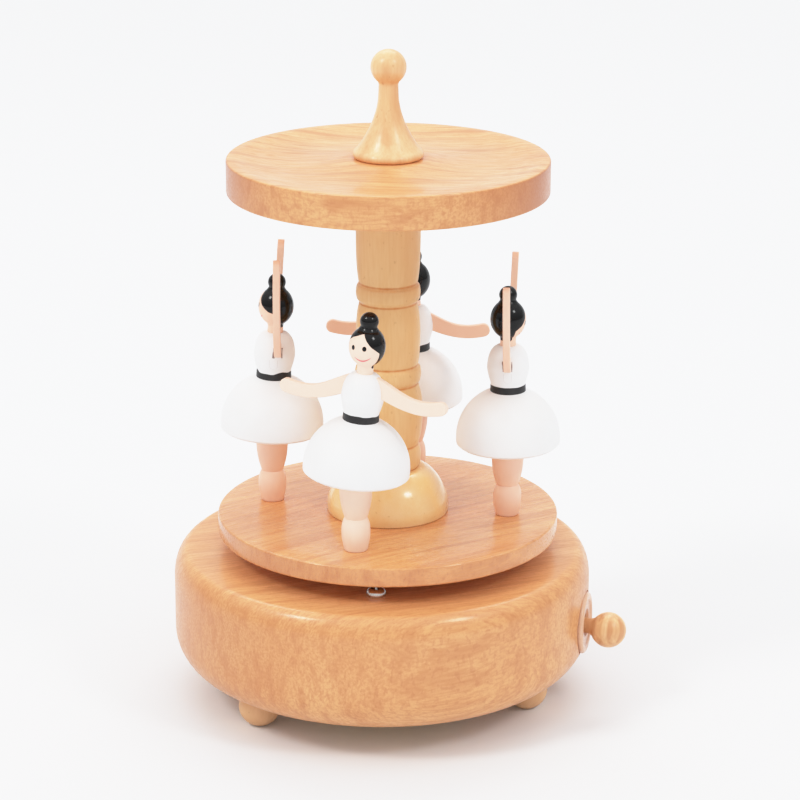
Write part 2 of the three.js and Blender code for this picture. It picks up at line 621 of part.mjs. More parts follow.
function makeMovement() {
  const group = new THREE.Group();
  group.position.set(spindleX, 0, ceiling);
  group.rotation.z = radians(movementAzimuth);
  group.add(named('bedplate', makeBedplate(), zinc()));
  mountScrewPlaces.forEach(([u, v], i) => {
    const length = drum.topWall + bedplate.thickness + 0.4;
    const screw = makePanScrew(panScrew, length).translate(u, v, drum.topWall);
    group.add(named(`mount_screw_${i + 1}`, screw, steel()));
  });
  group.add(named('spring_housing', makeSpringHousing(), zinc()));
  group.add(named('mainspring', makeMainspring(), steel()));
  group.add(named('great_wheel', makeGreatWheel(), brass()));
  group.add(named('spindle', makeSpindle(), steel()));
  group.add(named('pinned_cylinder', makeCylinder(), brass()));
  group.add(named('comb', makeComb(), steel()));
  combScrewPlaces.forEach(([u, v], i) => {
    const screw = makePanScrew(combScrew, combScrew.length).rotateX(Math.PI);
    group.add(named(`comb_screw_${i + 1}`, screw.translate(u, v, cylinderZ - comb.thickness / 2), steel()));
  });
  group.add(named('governor_bracket', makeGovernorBracket(), brass()));
  group.add(named('governor_fly', makeFly(), brass()));
  return group;
}

// ---------------------------------------------------------------- the carousel

function makeTurntable() {
  const { radius, thickness, arris } = turntable;
  const blank = revolve([
    [0, -thickness],
    [radius - arris, -thickness],
    [radius, -thickness + arris],
    [radius, -arris],
    [radius - arris, 0],
    [0, 0],
  ], sides.disc);
  const tools = [rod(shaft.stud + slip, -thickness - past, past, sides.turned)];
  for (const { azimuth } of dolls) {
    const a = radians(azimuth);
    tools.push(rod(footPeg.radius + slip, -footPeg.length - slip, past, sides.small)
      .translate(doll.circle * Math.cos(a), doll.circle * Math.sin(a), 0));
  }
  return cut(blank, ...tools);
}

function makeColumnFoot() {
  const { radius, height, topRadius, skirtHeight } = columnFoot;
  const studTop = shaft.studLength - turntable.thickness + slip;
  const socket = height - columnTenon.lower;
  return revolve([
    [0, studTop],
    [shaft.stud + slip, studTop],
    [shaft.stud + slip, 0],
    [radius, 0],
    [radius, skirtHeight],
    ...smooth(between(footDome, topRadius, radius, skirtHeight, height), 4),
    [columnTenon.radius + slip, height],
    [columnTenon.radius + slip, socket],
    [0, socket],
  ], sides.disc);
}

// One turned swelling between two grooves.
function swell(bottom, height, { low, middle, high }) {
  const up = (share) => bottom + height * share;
  return smooth([
    [low, bottom + column.groove], [(low + 2 * middle) / 3, up(0.2)], [middle, up(0.5)],
    [(high + 2 * middle) / 3, up(0.8)], [high, bottom + height - column.groove],
  ], 4);
}

function makeColumn() {
  const foot0 = columnFoot.height;
  const tenonIn = columnTenon.lower - slip;
  const profile = [];
  let bottom = foot0;
  for (const each of swellings) {
    const height = each.height ?? canopyBottom - column.plainTop - bottom;
    profile.push(...swell(bottom, height, each));
    bottom += height;
  }
  return revolve([
    [0, foot0 - tenonIn],
    [columnTenon.radius, foot0 - tenonIn],
    [columnTenon.radius, foot0],
    [column.footRadius, foot0],
    ...profile,
    [column.topRadius, canopyBottom],
    [columnTenon.radius, canopyBottom],
    [columnTenon.radius, canopyBottom + columnTenon.length - slip],
    [0, canopyBottom + columnTenon.length - slip],
  ], sides.turned);
}

function makeCanopy() {
  const { radius, thickness, rim, hollow, arris } = canopy;
  const top = canopyTop;
  const boss = finial.lip + 1.5;
  const hollowFrom = radius - rim;
  const middle = (hollowFrom + boss) / 2;
  return revolve([
    [0, canopyBottom + columnTenon.length],
    [columnTenon.radius + slip, canopyBottom + columnTenon.length],
    [columnTenon.radius + slip, canopyBottom],
    [radius - arris, canopyBottom],
    [radius, canopyBottom + arris],
    [radius, top - arris],
    [radius - arris, top],
    [hollowFrom, top],
    ...arc([middle, top], (hollowFrom - boss) / 2, hollow, -12, -168, 5),
    [boss, top],
    [finial.tenonRadius + slip, top],
    [finial.tenonRadius + slip, top - finial.tenonLength],
    [0, top - finial.tenonLength],
  ], sides.disc);
}

function makeFinial() {
  const neckTop = finial.neckLength;
  const meets = Math.acos(finial.neck / finial.ball);
  const ballMiddle = neckTop + finial.ball * Math.sin(meets);
  return revolve([
    [0, -finial.tenonLength + slip],
    [finial.tenonRadius, -finial.tenonLength + slip],
    [finial.tenonRadius, 0],
    [finial.base, 0],
    ...smooth([[finial.lip - 0.2, finial.lipHeight * 0.4], [finial.lip, finial.lipHeight],
      ...between(finialBell, finial.neck, finial.lip, finial.lipHeight, neckTop)], 8),
    ...arc([0, ballMiddle], finial.ball, finial.ball, degrees(-meets), 90, 6).slice(1),
  ], sides.turned).translate(0, 0, canopyTop);
}

// ---------------------------------------------------------------- the dolls

// The turn that leans the upper part of a doll, about the middle of its legs' top.
function leaning({ faces, lean, towards }) {
  const a = radians(towards - faces);
  const level = new THREE.Vector3(-Math.sin(a), Math.cos(a), 0);
  return new THREE.Quaternion().setFromAxisAngle(level, radians(lean));
}

function makeLegs(each) {
  const { legFoot, legBulge, bulgeHeight, legWaist, waistHeight, legTop, legLength } = doll;
  const spare = legTop;
  const body = revolve([
    [0, -footPeg.length],
    [footPeg.radius, -footPeg.length],
    [footPeg.radius, 0],
    ...smooth([[legFoot, 0], [legBulge, bulgeHeight], [legWaist, waistHeight],
      [(legWaist + 2 * legTop) / 3, (waistHeight + legLength) / 2], [legTop, legLength]], 6),
    [legTop, legLength + spare],
    [0, legLength + spare],
  ], sides.small);
  const turn = leaning(each);
  const above = box(-2 * legTop, 2 * legTop, -2 * legTop, 2 * legTop, 0, 2 * spare);
  const upperPeg = rod(peg.radius, -past, peg.length, sides.small);
  for (const shape of [above, upperPeg]) shape.applyQuaternion(turn).translate(0, 0, legLength);
  return join(cut(body, above), upperPeg);
}

function makeSkirt() {
  const { skirtRadius, hemDrop, legLength, beltRadius } = doll;
  const hole = peg.radius + slip;
  const hem = degrees(-Math.asin(hemDrop / skirtRadius));
  const top = degrees(Math.acos(beltRadius / skirtRadius));
  return revolve([
    [0, legLength + peg.length + slip],
    [hole, legLength + peg.length + slip],
    [hole, legLength],
    [skirtRadius - 0.9, legLength],
    ...arc([0, skirtMiddle], skirtRadius, skirtRadius, hem + 2, top, 4),
    [hole, skirtTop],
    [hole, skirtTop - peg.length - slip],
    [0, skirtTop - peg.length - slip],
  ], sides.turned);
}

function makeTorso(pose) {
  const { beltRadius, torsoRadius, torsoHeight, neckRadius } = doll;
  const hole = neckPeg.radius + slip;
  const at = (share) => beltTop + torsoHeight * share;
  const blank = revolve([
    [0, skirtTop - peg.length],
    [peg.radius, skirtTop - peg.length],
    [peg.radius, skirtTop],
    [beltRadius, skirtTop],
    [beltRadius, beltTop],
    ...smooth([[beltRadius - 0.15, beltTop], [torsoRadius, at(0.38)], [torsoRadius * 0.82, at(0.83)],
      [neckRadius + 0.1, torsoTop]], 4),
    [hole, torsoTop],
    [hole, torsoTop - neckPeg.length - slip],
    [0, torsoTop - neckPeg.length - slip],
  ], sides.small);
  const half = arm.thickness / 2 + bearing;
  const reach = torsoRadius + 2;
  const inside = armEdges(pose).lower.filter(([s]) => s < reach);
  const bottom = Math.min(...inside.map(([, z]) => z)) - bearing;
  const slots = [-1, 1].map((side) => {
    const [a, b] = [side * (arm.rootDepth - bearing), side * reach];
    return box(-half, half, Math.min(a, b), Math.max(a, b), bottom, torsoTop + past);
  });
  return cut(blank, ...slots);
}

function makeHead() {
  const { neckRadius, neckLength, headRadius, headHalfHeight, bunRadius } = doll;
  const chin = degrees(-Math.acos(neckRadius / headRadius));
  const bunMiddle = headMiddle + headHalfHeight + bunRadius * 0.5;
  return revolve([
    [0, torsoTop - neckPeg.length],
    [neckPeg.radius, torsoTop - neckPeg.length],
    [neckPeg.radius, torsoTop],
    [neckRadius, torsoTop],
    [neckRadius, torsoTop + neckLength * 0.6],
    ...arc([0, headMiddle], headRadius, headHalfHeight, chin, 68, 4),
    ...arc([0, bunMiddle], bunRadius, bunRadius, -30, 90, 3),
  ], sides.small);
}

// The two long edges of an arm along its bent middle line, each from the shoulder out, and its round hand.
function armEdges(pose) {
  const { line, shoulder, hand } = armPoses[pose];
  const curve = new THREE.CubicBezierCurve(...line.map(([s, up]) => new THREE.Vector2(s, torsoTop + up)));
  const steps = 8;
  const upper = [];
  const lower = [];
  for (let i = 0; i <= steps; i++) {
    const t = i / steps;
    const p = curve.getPoint(t);
    const along = curve.getTangent(t);
    const half = shoulder + (hand - shoulder) * Math.min(1, t * 1.6);
    upper.push([p.x - along.y * half, p.y + along.x * half]);
    lower.push([p.x + along.y * half, p.y - along.x * half]);
  }
  const end = curve.getPoint(1);
  const heading = degrees(curve.getTangent(1).angle());
  const tip = arc([end.x, end.y], hand, hand, heading + 90, heading - 90, 4).slice(1, -1);
  return { upper, lower, tip };
}

// An arm is a flat plate; its root is cut upright where it meets the floor of the slot.
function makeArm(pose, side) {
  const { upper, lower, tip } = armEdges(pose);
  const shape = outline([...upper, ...tip, ...lower.reverse()].reverse());
  const plate = extrude(shape, -arm.thickness / 2, arm.thickness);
  const beyond = arm.thickness;
  const trimmed = cut(plate, box(-arm.rootDepth, arm.rootDepth, skirtTop, torsoTop, -beyond, beyond));
  // The outline's plane is stood upright across the doll: sideways becomes Y and height becomes Z.
  trimmed.rotateX(Math.PI / 2).rotateZ(Math.PI / 2);
  return side > 0 ? trimmed : trimmed.rotateZ(Math.PI);
}

function makeDoll(each) {
  const { name, azimuth, faces, pose } = each;
  const group = new THREE.Group();
  const a = radians(azimuth);
  group.position.set(doll.circle * Math.cos(a), doll.circle * Math.sin(a), 0);
  group.rotation.z = radians(faces);
  const upper = new THREE.Group();
  upper.position.z = doll.legLength;
  upper.quaternion.copy(leaning(each));
  const above = [
    named(`${name}_skirt`, makeSkirt(), whitePaint()),
    named(`${name}_torso`, makeTorso(pose), whitePaint()),
    named(`${name}_head`, makeHead(), blackPaint()),
    named(`${name}_left_arm`, makeArm(pose, 1), skinPaint()),
    named(`${name}_right_arm`, makeArm(pose, -1), skinPaint()),
  ];
  for (const mesh of above) mesh.position.z = -doll.legLength;
  upper.add(...above);
  group.add(named(`${name}_legs`, makeLegs(each), skinPaint()), upper);
  return group;
}

function makeCarousel() {
  const group = new THREE.Group();
  group.position.set(spindleX, 0, turntableTop);
  group.add(named('turntable', makeTurntable(), beech()));
  group.add(named('column_foot', makeColumnFoot(), honeyWood()));
  group.add(named('column', makeColumn(), paleWood()));
  group.add(named('canopy', makeCanopy(), beech()));
  group.add(named('finial', makeFinial(), paleWood()));
  for (const each of dolls) group.add(makeDoll(each));
  return group;
}

const musicBox = new THREE.Group();
musicBox.add(makeBase(), makeStop(), makeMovement(), makeCarousel());

export default musicBox;
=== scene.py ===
"""Looks of a wooden carousel music box: a turned beech base, disc and canopy, and four painted dancers."""

import math

import bpy
from bpy.props import FloatProperty, FloatVectorProperty, PointerProperty
from mathutils import Matrix, Quaternion, Vector


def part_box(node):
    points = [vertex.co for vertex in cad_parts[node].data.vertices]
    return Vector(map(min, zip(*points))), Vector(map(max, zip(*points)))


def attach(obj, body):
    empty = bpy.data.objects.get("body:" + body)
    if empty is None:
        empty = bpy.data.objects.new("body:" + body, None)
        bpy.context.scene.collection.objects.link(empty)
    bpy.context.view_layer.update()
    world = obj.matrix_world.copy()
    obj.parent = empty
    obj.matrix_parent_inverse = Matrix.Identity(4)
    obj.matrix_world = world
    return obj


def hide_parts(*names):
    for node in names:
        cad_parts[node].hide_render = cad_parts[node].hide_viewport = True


bl_info = {
    "name": "Carousel music box",
    "version": (1, 0, 0),
    "blender": (4, 5, 0),
    "location": "View3D > Sidebar > Music box",
    "description": "Builds a wooden carousel music box with four dancers, and its plain stage",
    "category": "Add Mesh",
}

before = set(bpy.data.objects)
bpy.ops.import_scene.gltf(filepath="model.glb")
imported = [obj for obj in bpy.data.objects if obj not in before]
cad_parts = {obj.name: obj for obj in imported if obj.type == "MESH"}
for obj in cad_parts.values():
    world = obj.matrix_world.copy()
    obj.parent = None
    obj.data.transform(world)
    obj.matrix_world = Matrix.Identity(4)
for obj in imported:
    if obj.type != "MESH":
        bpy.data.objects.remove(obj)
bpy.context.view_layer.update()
MM = 0.001


def middle(node):
    """The middle of a CAD node's box, in metres."""
    low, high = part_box(node)
    return (low + high) / 2


def top(node):
    """The top of a CAD node's box, in millimetres."""
    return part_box(node)[1].z / MM


def bottom(node):
    """The bottom of a CAD node's box, in millimetres."""
    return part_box(node)[0].z / MM


def half_width(node):
    """Half of a CAD node's width from front to back, in metres."""
    low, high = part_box(node)
    return (high.y - low.y) / 2


# Places are in metres. Heights and radii are in millimetres, like all the profiles below.
SPINDLE = middle("turntable")
TABLE_TOP = top("turntable")
CANOPY_LOW = bottom("canopy")
CANOPY_TOP = top("canopy")
BASE_LOW = bottom("drum")
BASE_TOP = top("drum")
KNOB = middle("stop_knob")
KNOB_DROOP = 7  # degrees, in its loose hole

# For each dancer: its place round the disc, the way it faces, how far and which way it leans, in
# degrees, how much shorter its legs are in millimetres, and its arms' pose.
DANCERS = {
    "front": {"azimuth": -91.6, "faces": -101, "lean": 4.9, "towards": 13, "sinks": 0.0, "arms": "spread"},
    "right": {"azimuth": 6.5, "faces": 9.5, "lean": 0.7, "towards": -167, "sinks": 0.9,
              "arms": "raised_wide"},
    "back": {"azimuth": 91, "faces": 103, "lean": 0, "towards": 0, "sinks": 0.0, "arms": "spread"},
    "left": {"azimuth": 179.5, "faces": 193, "lean": 2.4, "towards": 13, "sinks": 0.7, "arms": "raised"},
}
RING_OF_DANCERS = 35
LEG_LENGTH = 22.2
SKIRT_TOP = 38.66
BELT_TOP = 40.86
TORSO_TOP = 52.26
HEAD_MIDDLE = 59.96
HEAD_RADIUS = 5.15
HEAD_HALF = 5.8
SLOT_FLOOR = 2.8
ARM_THICKNESS = 2
# An arm's middle line as a curve of four points: out from the torso's axis, and up from the torso's top.
ARM_LINES = {
    "spread": {
        "line": [(SLOT_FLOOR, -3.1), (9, -4.9), (14, -9.5), (23.5, -7.0)], "shoulder": 2.6, "hand": 1.95,
    },
    "raised": {
        "line": [(SLOT_FLOOR, -4.7), (11.5, -5.3), (15, 7.7), (10.7, 22)], "shoulder": 2.1, "hand": 1.9,
    },
    "raised_wide": {
        "line": [(SLOT_FLOOR, -4.7), (13, -5.8), (20, 5.7), (17.8, 19.7)], "shoulder": 2.1, "hand": 1.9,
    },
}


# ---------------------------------------------------------------- sizes and colours


def srgb(red, green, blue):
    """A colour given as 0-255 screen values, as the linear values that shaders use."""
    out = []
    for value in (red, green, blue):
        share = value / 255
        out.append(share / 12.92 if share <= 0.04045 else ((share + 0.055) / 1.055) ** 2.4)
    return tuple(out)


class MusicBoxSizes(bpy.types.PropertyGroup):
    """Sizes that a maker would change"""

    base_radius: FloatProperty(
        name="Base radius", description="Outside of the round base",
        default=half_width("drum"), unit="LENGTH"
    )
    disc_radius: FloatProperty(
        name="Disc radius", description="Outside of the turning disc",
        default=half_width("turntable"), unit="LENGTH"
    )
    canopy_radius: FloatProperty(
        name="Canopy radius", description="Outside of the canopy",
        default=half_width("canopy"), unit="LENGTH"
    )
    skirt_radius: FloatProperty(
        name="Skirt radius", description="Widest part of a dancer's skirt",
        default=15.05 * MM, unit="LENGTH"
    )
    edge_wear: FloatProperty(
        name="Edge rounding", description="Rounding of the disc and canopy arrises",
        default=0.6 * MM, unit="LENGTH"
    )


class MusicBoxColours(bpy.types.PropertyGroup):
    """Colours of the woods and paints"""

    beech: FloatVectorProperty(
        name="Beech", description="Pale part of the beech", default=srgb(240, 180, 124), subtype="COLOR"
    )
    beech_deep: FloatVectorProperty(
        name="Beech bands", description="Darker bands in the beech",
        default=srgb(223, 150, 95), subtype="COLOR"
    )
    fleck: FloatVectorProperty(
        name="Flecks", description="Short ray flecks in the beech",
        default=srgb(176, 104, 62), subtype="COLOR"
    )
    maple: FloatVectorProperty(
        name="Maple", description="Pale turned wood", default=srgb(236, 198, 148), subtype="COLOR"
    )
    honey: FloatVectorProperty(
        name="Honey", description="Lacquered foot of the column",
        default=srgb(250, 212, 156), subtype="COLOR"
    )
    burn: FloatVectorProperty(
        name="Burnt line", description="Burnt grooves", default=srgb(206, 132, 66), subtype="COLOR"
    )
    white: FloatVectorProperty(
        name="White paint", description="Skirts and bodices", default=srgb(243, 243, 243), subtype="COLOR"
    )
    cream: FloatVectorProperty(
        name="Cream skin", description="Skin of the front dancer",
        default=srgb(250, 219, 199), subtype="COLOR"
    )
    peach: FloatVectorProperty(
        name="Peach skin", description="Skin of the other dancers",
        default=srgb(250, 206, 182), subtype="COLOR"
    )
    black: FloatVectorProperty(
        name="Black paint", description="Hair and eyes", default=srgb(9, 8, 8), subtype="COLOR"
    )
    belt: FloatVectorProperty(
        name="Belt", description="Charcoal belts", default=srgb(24, 22, 22), subtype="COLOR"
    )
    lips: FloatVectorProperty(
        name="Smile", description="Thin smile", default=srgb(242, 128, 130), subtype="COLOR"
    )
    floor: FloatVectorProperty(
        name="Floor", description="Plain pale floor", default=srgb(236, 237, 239), subtype="COLOR"
    )


# ---------------------------------------------------------------- modelling helpers


def only(piece):
    """Leaves one piece selected and active, out of edit mode."""
    if bpy.context.object and bpy.context.object.mode != "OBJECT":
        bpy.ops.object.mode_set(mode="OBJECT")
    bpy.ops.object.select_all(action="DESELECT")
    if piece:
        piece.select_set(True)
        bpy.context.view_layer.objects.active = piece


def arc(centre, across, up, start, end, steps):
    """Points on an ellipse from one angle to another in degrees: 0 is outward and 90 is up."""
    points = []
    for step in range(steps + 1):
        angle = math.radians(start + (end - start) * step / steps)
        points.append((centre[0] + across * math.cos(angle), centre[1] + up * math.sin(angle)))
    return points


def smooth(points, steps):
    """A smooth line through a few points, with so many steps between each two."""
    ends = [points[0], *points, points[-1]]
    line = []
    for before, here, there, after in zip(ends, ends[1:], ends[2:], ends[3:]):
        for step in range(steps):
            t = step / steps
            line.append(tuple(
                0.5 * (2 * q + (r - p) * t + (2 * p - 5 * q + 4 * r - s) * t * t
                       + (3 * q - p - 3 * r + s) * t ** 3)
                for p, q, r, s in zip(before, here, there, after)
            ))
    return [*line, points[-1]]


def chain(name, points):
    """A line of vertices in the XZ plane through points in millimetres; stays in edit mode, all selected."""
    only(None)
    bpy.ops.mesh.primitive_plane_add(size=MM, location=(points[0][0] * MM, 0, points[0][1] * MM))
    piece = bpy.context.object
    piece.name = piece.data.name = name
    bpy.ops.object.transform_apply(location=True)
    bpy.ops.object.mode_set(mode="EDIT")
    bpy.ops.mesh.select_mode(type="VERT")
    bpy.ops.mesh.merge(type="CENTER")
    for (xa, za), (xb, zb) in zip(points, points[1:]):
        stride = ((xb - xa) * MM, 0, (zb - za) * MM)
        bpy.ops.mesh.extrude_vertices_move(TRANSFORM_OT_translate={"value": stride})
    bpy.ops.mesh.select_all(action="SELECT")
    return piece


def close_up(piece, angle=32):
    """Merges doubles, turns the faces outward and shades the piece."""
    bpy.ops.mesh.select_all(action="SELECT")
    bpy.ops.mesh.remove_doubles(threshold=1e-6)
    bpy.ops.mesh.normals_make_consistent(inside=False)
    only(piece)
    bpy.ops.object.shade_smooth_by_angle(angle=math.radians(angle))
    return piece


def turned(name, profile, sides=128, angle=32):
    """A piece turned about the upright axis from a profile of (radius, height) in millimetres."""
    piece = chain(name, profile)
    bpy.ops.mesh.spin(steps=sides, angle=2 * math.pi, center=(0, 0, 0), axis=(0, 0, 1))
    return close_up(piece, angle)


def plate(name, outline, thickness, rounding=0.0):
    """A flat piece: an outline in the XZ plane, thickened evenly to both sides along Y."""
    piece = chain(name, outline)
    bpy.ops.mesh.edge_face_add()
    bpy.ops.mesh.extrude_region_move(TRANSFORM_OT_translate={"value": (0, thickness * MM, 0)})
    bpy.ops.mesh.select_all(action="SELECT")
    bpy.ops.transform.translate(value=(0, -thickness * MM / 2, 0))
    close_up(piece, 40)
    if rounding:
        bevel = piece.modifiers.new("Rounded edges", "BEVEL")
        bevel.width = rounding * MM
        bevel.segments = 3
        bevel.limit_method = "ANGLE"
        bevel.angle_limit = math.radians(45)
        bpy.ops.object.modifier_apply(modifier=bevel.name)
        bpy.ops.object.shade_smooth_by_angle(angle=math.radians(40))
    return piece


def move(piece, matrix):
    """Moves a piece and puts its new place into its mesh."""
    only(piece)
    piece.matrix_world = matrix @ piece.matrix_world
    bpy.ops.object.transform_apply(location=True, rotation=True, scale=True)
    return piece


def copied(piece, name):
    """A copy of a piece with its own mesh."""
    only(piece)
    bpy.ops.object.duplicate()
    twin = bpy.context.object
    twin.name = twin.data.name = name
    return twin


def carve(piece, *cutters):
    """Cuts shapes out of a piece and removes them."""
    for cutter in cutters:
        only(piece)
        cut = piece.modifiers.new("Cut", "BOOLEAN")
        cut.operation = "DIFFERENCE"
        cut.solver = "EXACT"
        cut.object = cutter
        bpy.ops.object.modifier_apply(modifier=cut.name)
        bpy.data.objects.remove(cutter)
    only(piece)
    bpy.ops.object.shade_smooth_by_angle(angle=math.radians(32))
    return piece


def paint(piece, name, field):
    """Stores a value per vertex, worked out from its place in millimetres."""
    layer = piece.data.attributes.new(name, "FLOAT", "POINT")
    layer.data.foreach_set("value", [field(*(v.co / MM)) for v in piece.data.vertices])


def finished(piece, body, slot, replaces, *materials):
    """Gives a piece its materials and its body and hides the CAD nodes it stands for; the slot is not used.
    """
    piece.data.materials.clear()
    for material in materials:
        piece.data.materials.append(material)
    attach(piece, body)
    if replaces:
        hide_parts(*replaces)
    return piece


def clad(node_name, material):
    """Gives a CAD node its material and leaves its mesh alone."""
    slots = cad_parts[node_name].data.materials
    slots.clear()
    slots.append(material)


def upright(x, y, z=0.0, turn=0.0):
    """A place in metres, turned about the upright axis in degrees."""
    return Matrix.Translation((x, y, z)) @ Matrix.Rotation(math.radians(turn), 4, "Z")


ALONG_X = Matrix.Rotation(math.radians(90), 4, "Y")


# ---------------------------------------------------------------- materials


def node(tree, kind, settings=None, **inputs):
    """Adds a shader node, sets its settings, and sets or links its inputs."""
    made = tree.nodes.new(kind)
    for key, value in (settings or {}).items():
        setattr(made, key, value)
    for key, value in inputs.items():
        socket = made.inputs[key.replace("_", " ")]
        if isinstance(value, bpy.types.NodeSocket):
            tree.links.new(value, socket)
        else:
            socket.default_value = value
    return made


def finish(name, **sockets):
    """A material with one Principled shader, its plain values set on its own sockets."""
    material = bpy.data.materials.new(name)
    material.use_nodes = True
    tree = material.node_tree
    shader = tree.nodes["Principled BSDF"]
    for key, value in sockets.items():
        shader.inputs[key.replace("_", " ")].default_value = value
    place = node(tree, "ShaderNodeTexCoord").outputs["Object"]
    return material, tree, shader, place


def rotated(tree, place, turn, shift):
    """Coordinates turned by angles in degrees and moved."""
    turns = tuple(math.radians(a) for a in turn)
    return node(tree, "ShaderNodeMapping", Vector=place, Rotation=turns, Location=shift).outputs[0]


def stretched(tree, place, scale):
    """Coordinates scaled along each axis."""
    return node(tree, "ShaderNodeMapping", Vector=place, Scale=scale).outputs[0]


def noise(tree, place, scale, detail=2.0, roughness=0.5):
    """Noise with so many cycles a metre along each axis."""
    made = node(tree, "ShaderNodeTexNoise", Vector=stretched(tree, place, scale), Scale=1.0)
    made.inputs["Detail"].default_value = detail
    made.inputs["Roughness"].default_value = roughness
    return made.outputs[0]


def ranged(tree, value, low, high, out_low=0.0, out_high=1.0):
    """A value taken from one range to another, and kept inside it."""
    made = node(tree, "ShaderNodeMapRange", {"clamp": True}, Value=value)
    for index, number in enumerate((low, high, out_low, out_high), 1):
        made.inputs[index].default_value = number
    return made.outputs[0]


def mixed(tree, share, first, second):
    """Two colours mixed by a share, each a socket or a plain colour."""
    made = tree.nodes.new("ShaderNodeMix")
    made.data_type = "RGBA"
    for index, value in ((0, share), (6, first), (7, second)):
        if isinstance(value, bpy.types.NodeSocket):
            tree.links.new(value, made.inputs[index])
        else:
            made.inputs[index].default_value = (*value, 1) if index else value
    return made.outputs[2]


def maths(tree, operation, *values):
    """A sum or product of values, each a socket or a number."""
    made = node(tree, "ShaderNodeMath", {"operation": operation})
    for index, value in enumerate(values):
        if isinstance(value, bpy.types.NodeSocket):
            tree.links.new(value, made.inputs[index])
        else:
            made.inputs[index].default_value = value
    return made.outputs[0]


def bumped(tree, shader, height, strength, distance):
    """Fine relief on a finish, with its depth in millimetres."""
    bump = node(tree, "ShaderNodeBump", Strength=strength, Distance=distance * MM, Height=height)
    tree.links.new(bump.outputs[0], shader.inputs["Normal"])


def painted_value(tree, name):
    """A value that was painted on a piece's vertices."""
    return node(tree, "ShaderNodeAttribute", {"attribute_name": name}).outputs["Fac"]


def beech(name, lay, shift, gloss=0.36, coat=0.3, streaks=0.5, flecks=0.24, ends=0.5):
    """Lacquered beech: wavy bands and streaks, fine fibres, short ray flecks, darker end grain and painted
    shade on upright faces.
    """
    colours = bpy.context.scene.music_box_colours
    material, tree, shader, place = finish(name, Coat_Weight=coat, Coat_Roughness=0.14, IOR=1.45)
    grain = rotated(tree, place, lay, shift)
    slow = stretched(tree, grain, (9, 24, 24))
    wander = node(tree, "ShaderNodeTexNoise", Vector=slow, Scale=1.0, Detail=1.0).outputs["Color"]
    swing = node(tree, "ShaderNodeVectorMath", {"operation": "SCALE"}, Vector=wander, Scale=0.016)
    bent = node(tree, "ShaderNodeVectorMath", {"operation": "ADD"}, Vector=grain)
    tree.links.new(swing.outputs[0], bent.inputs[1])
    bent = bent.outputs[0]
    band = ranged(tree, noise(tree, bent, (5, 62, 40), 2.0), 0.36, 0.66, 0.0, streaks)
    streak = ranged(tree, noise(tree, bent, (18, 430, 150), 3.0, 0.6), 0.47, 0.64, 0.0, streaks * 1.2)
    fibre = ranged(tree, noise(tree, bent, (120, 2000, 1300), 2.0), 0.42, 0.62, 0.0, 0.5)
    speckle = ranged(tree, noise(tree, grain, (1900, 2700, 1500), 2.0), 0.46, 0.62, 0.0, 0.24)
    fleck = ranged(tree, noise(tree, grain, (700, 2900, 520), 1.0, 0.3), 0.585, 0.66, 0.0, flecks)
    turned_up = node(tree, "ShaderNodeTexCoord").outputs["Normal"]
    facing = node(tree, "ShaderNodeMapping", {"vector_type": "NORMAL"}, Vector=turned_up,
                  Rotation=tuple(math.radians(a) for a in lay)).outputs[0]
    parts = node(tree, "ShaderNodeSeparateXYZ", Vector=facing).outputs
    end = ranged(tree, maths(tree, "MULTIPLY", parts[0], parts[0]), 0.1, 0.9, 0.0, ends)
    # Painted shade: upright faces are darkened a little, as if lit less than the tops.
    side = ranged(tree, maths(tree, "MULTIPLY", parts[2], parts[2]), 0.8, 0.1, 0.0, 0.14)
    end = maths(tree, "MAXIMUM", end, side)
    pale, deep = tuple(colours.beech), tuple(colours.beech_deep)
    low = tuple(Vector(deep) * 0.8)
    colour = mixed(tree, band, pale, deep)
    colour = mixed(tree, streak, colour, low)
    colour = mixed(tree, fibre, colour, low)
    colour = mixed(tree, speckle, colour, low)
    # Darker end grain and the painted shade of upright faces both mix towards this dark colour.
    colour = mixed(tree, end, colour, tuple(v * k for v, k in zip(deep, (0.6, 0.48, 0.38))))
    colour = mixed(tree, fleck, colour, tuple(colours.fleck))
    tree.links.new(colour, shader.inputs["Base Color"])
    tree.links.new(ranged(tree, fibre, 0.0, 0.4, gloss - 0.04, gloss + 0.08), shader.inputs["Roughness"])
    bumped(tree, shader, maths(tree, "ADD", fleck, fibre), 0.2, -0.04)
    return material


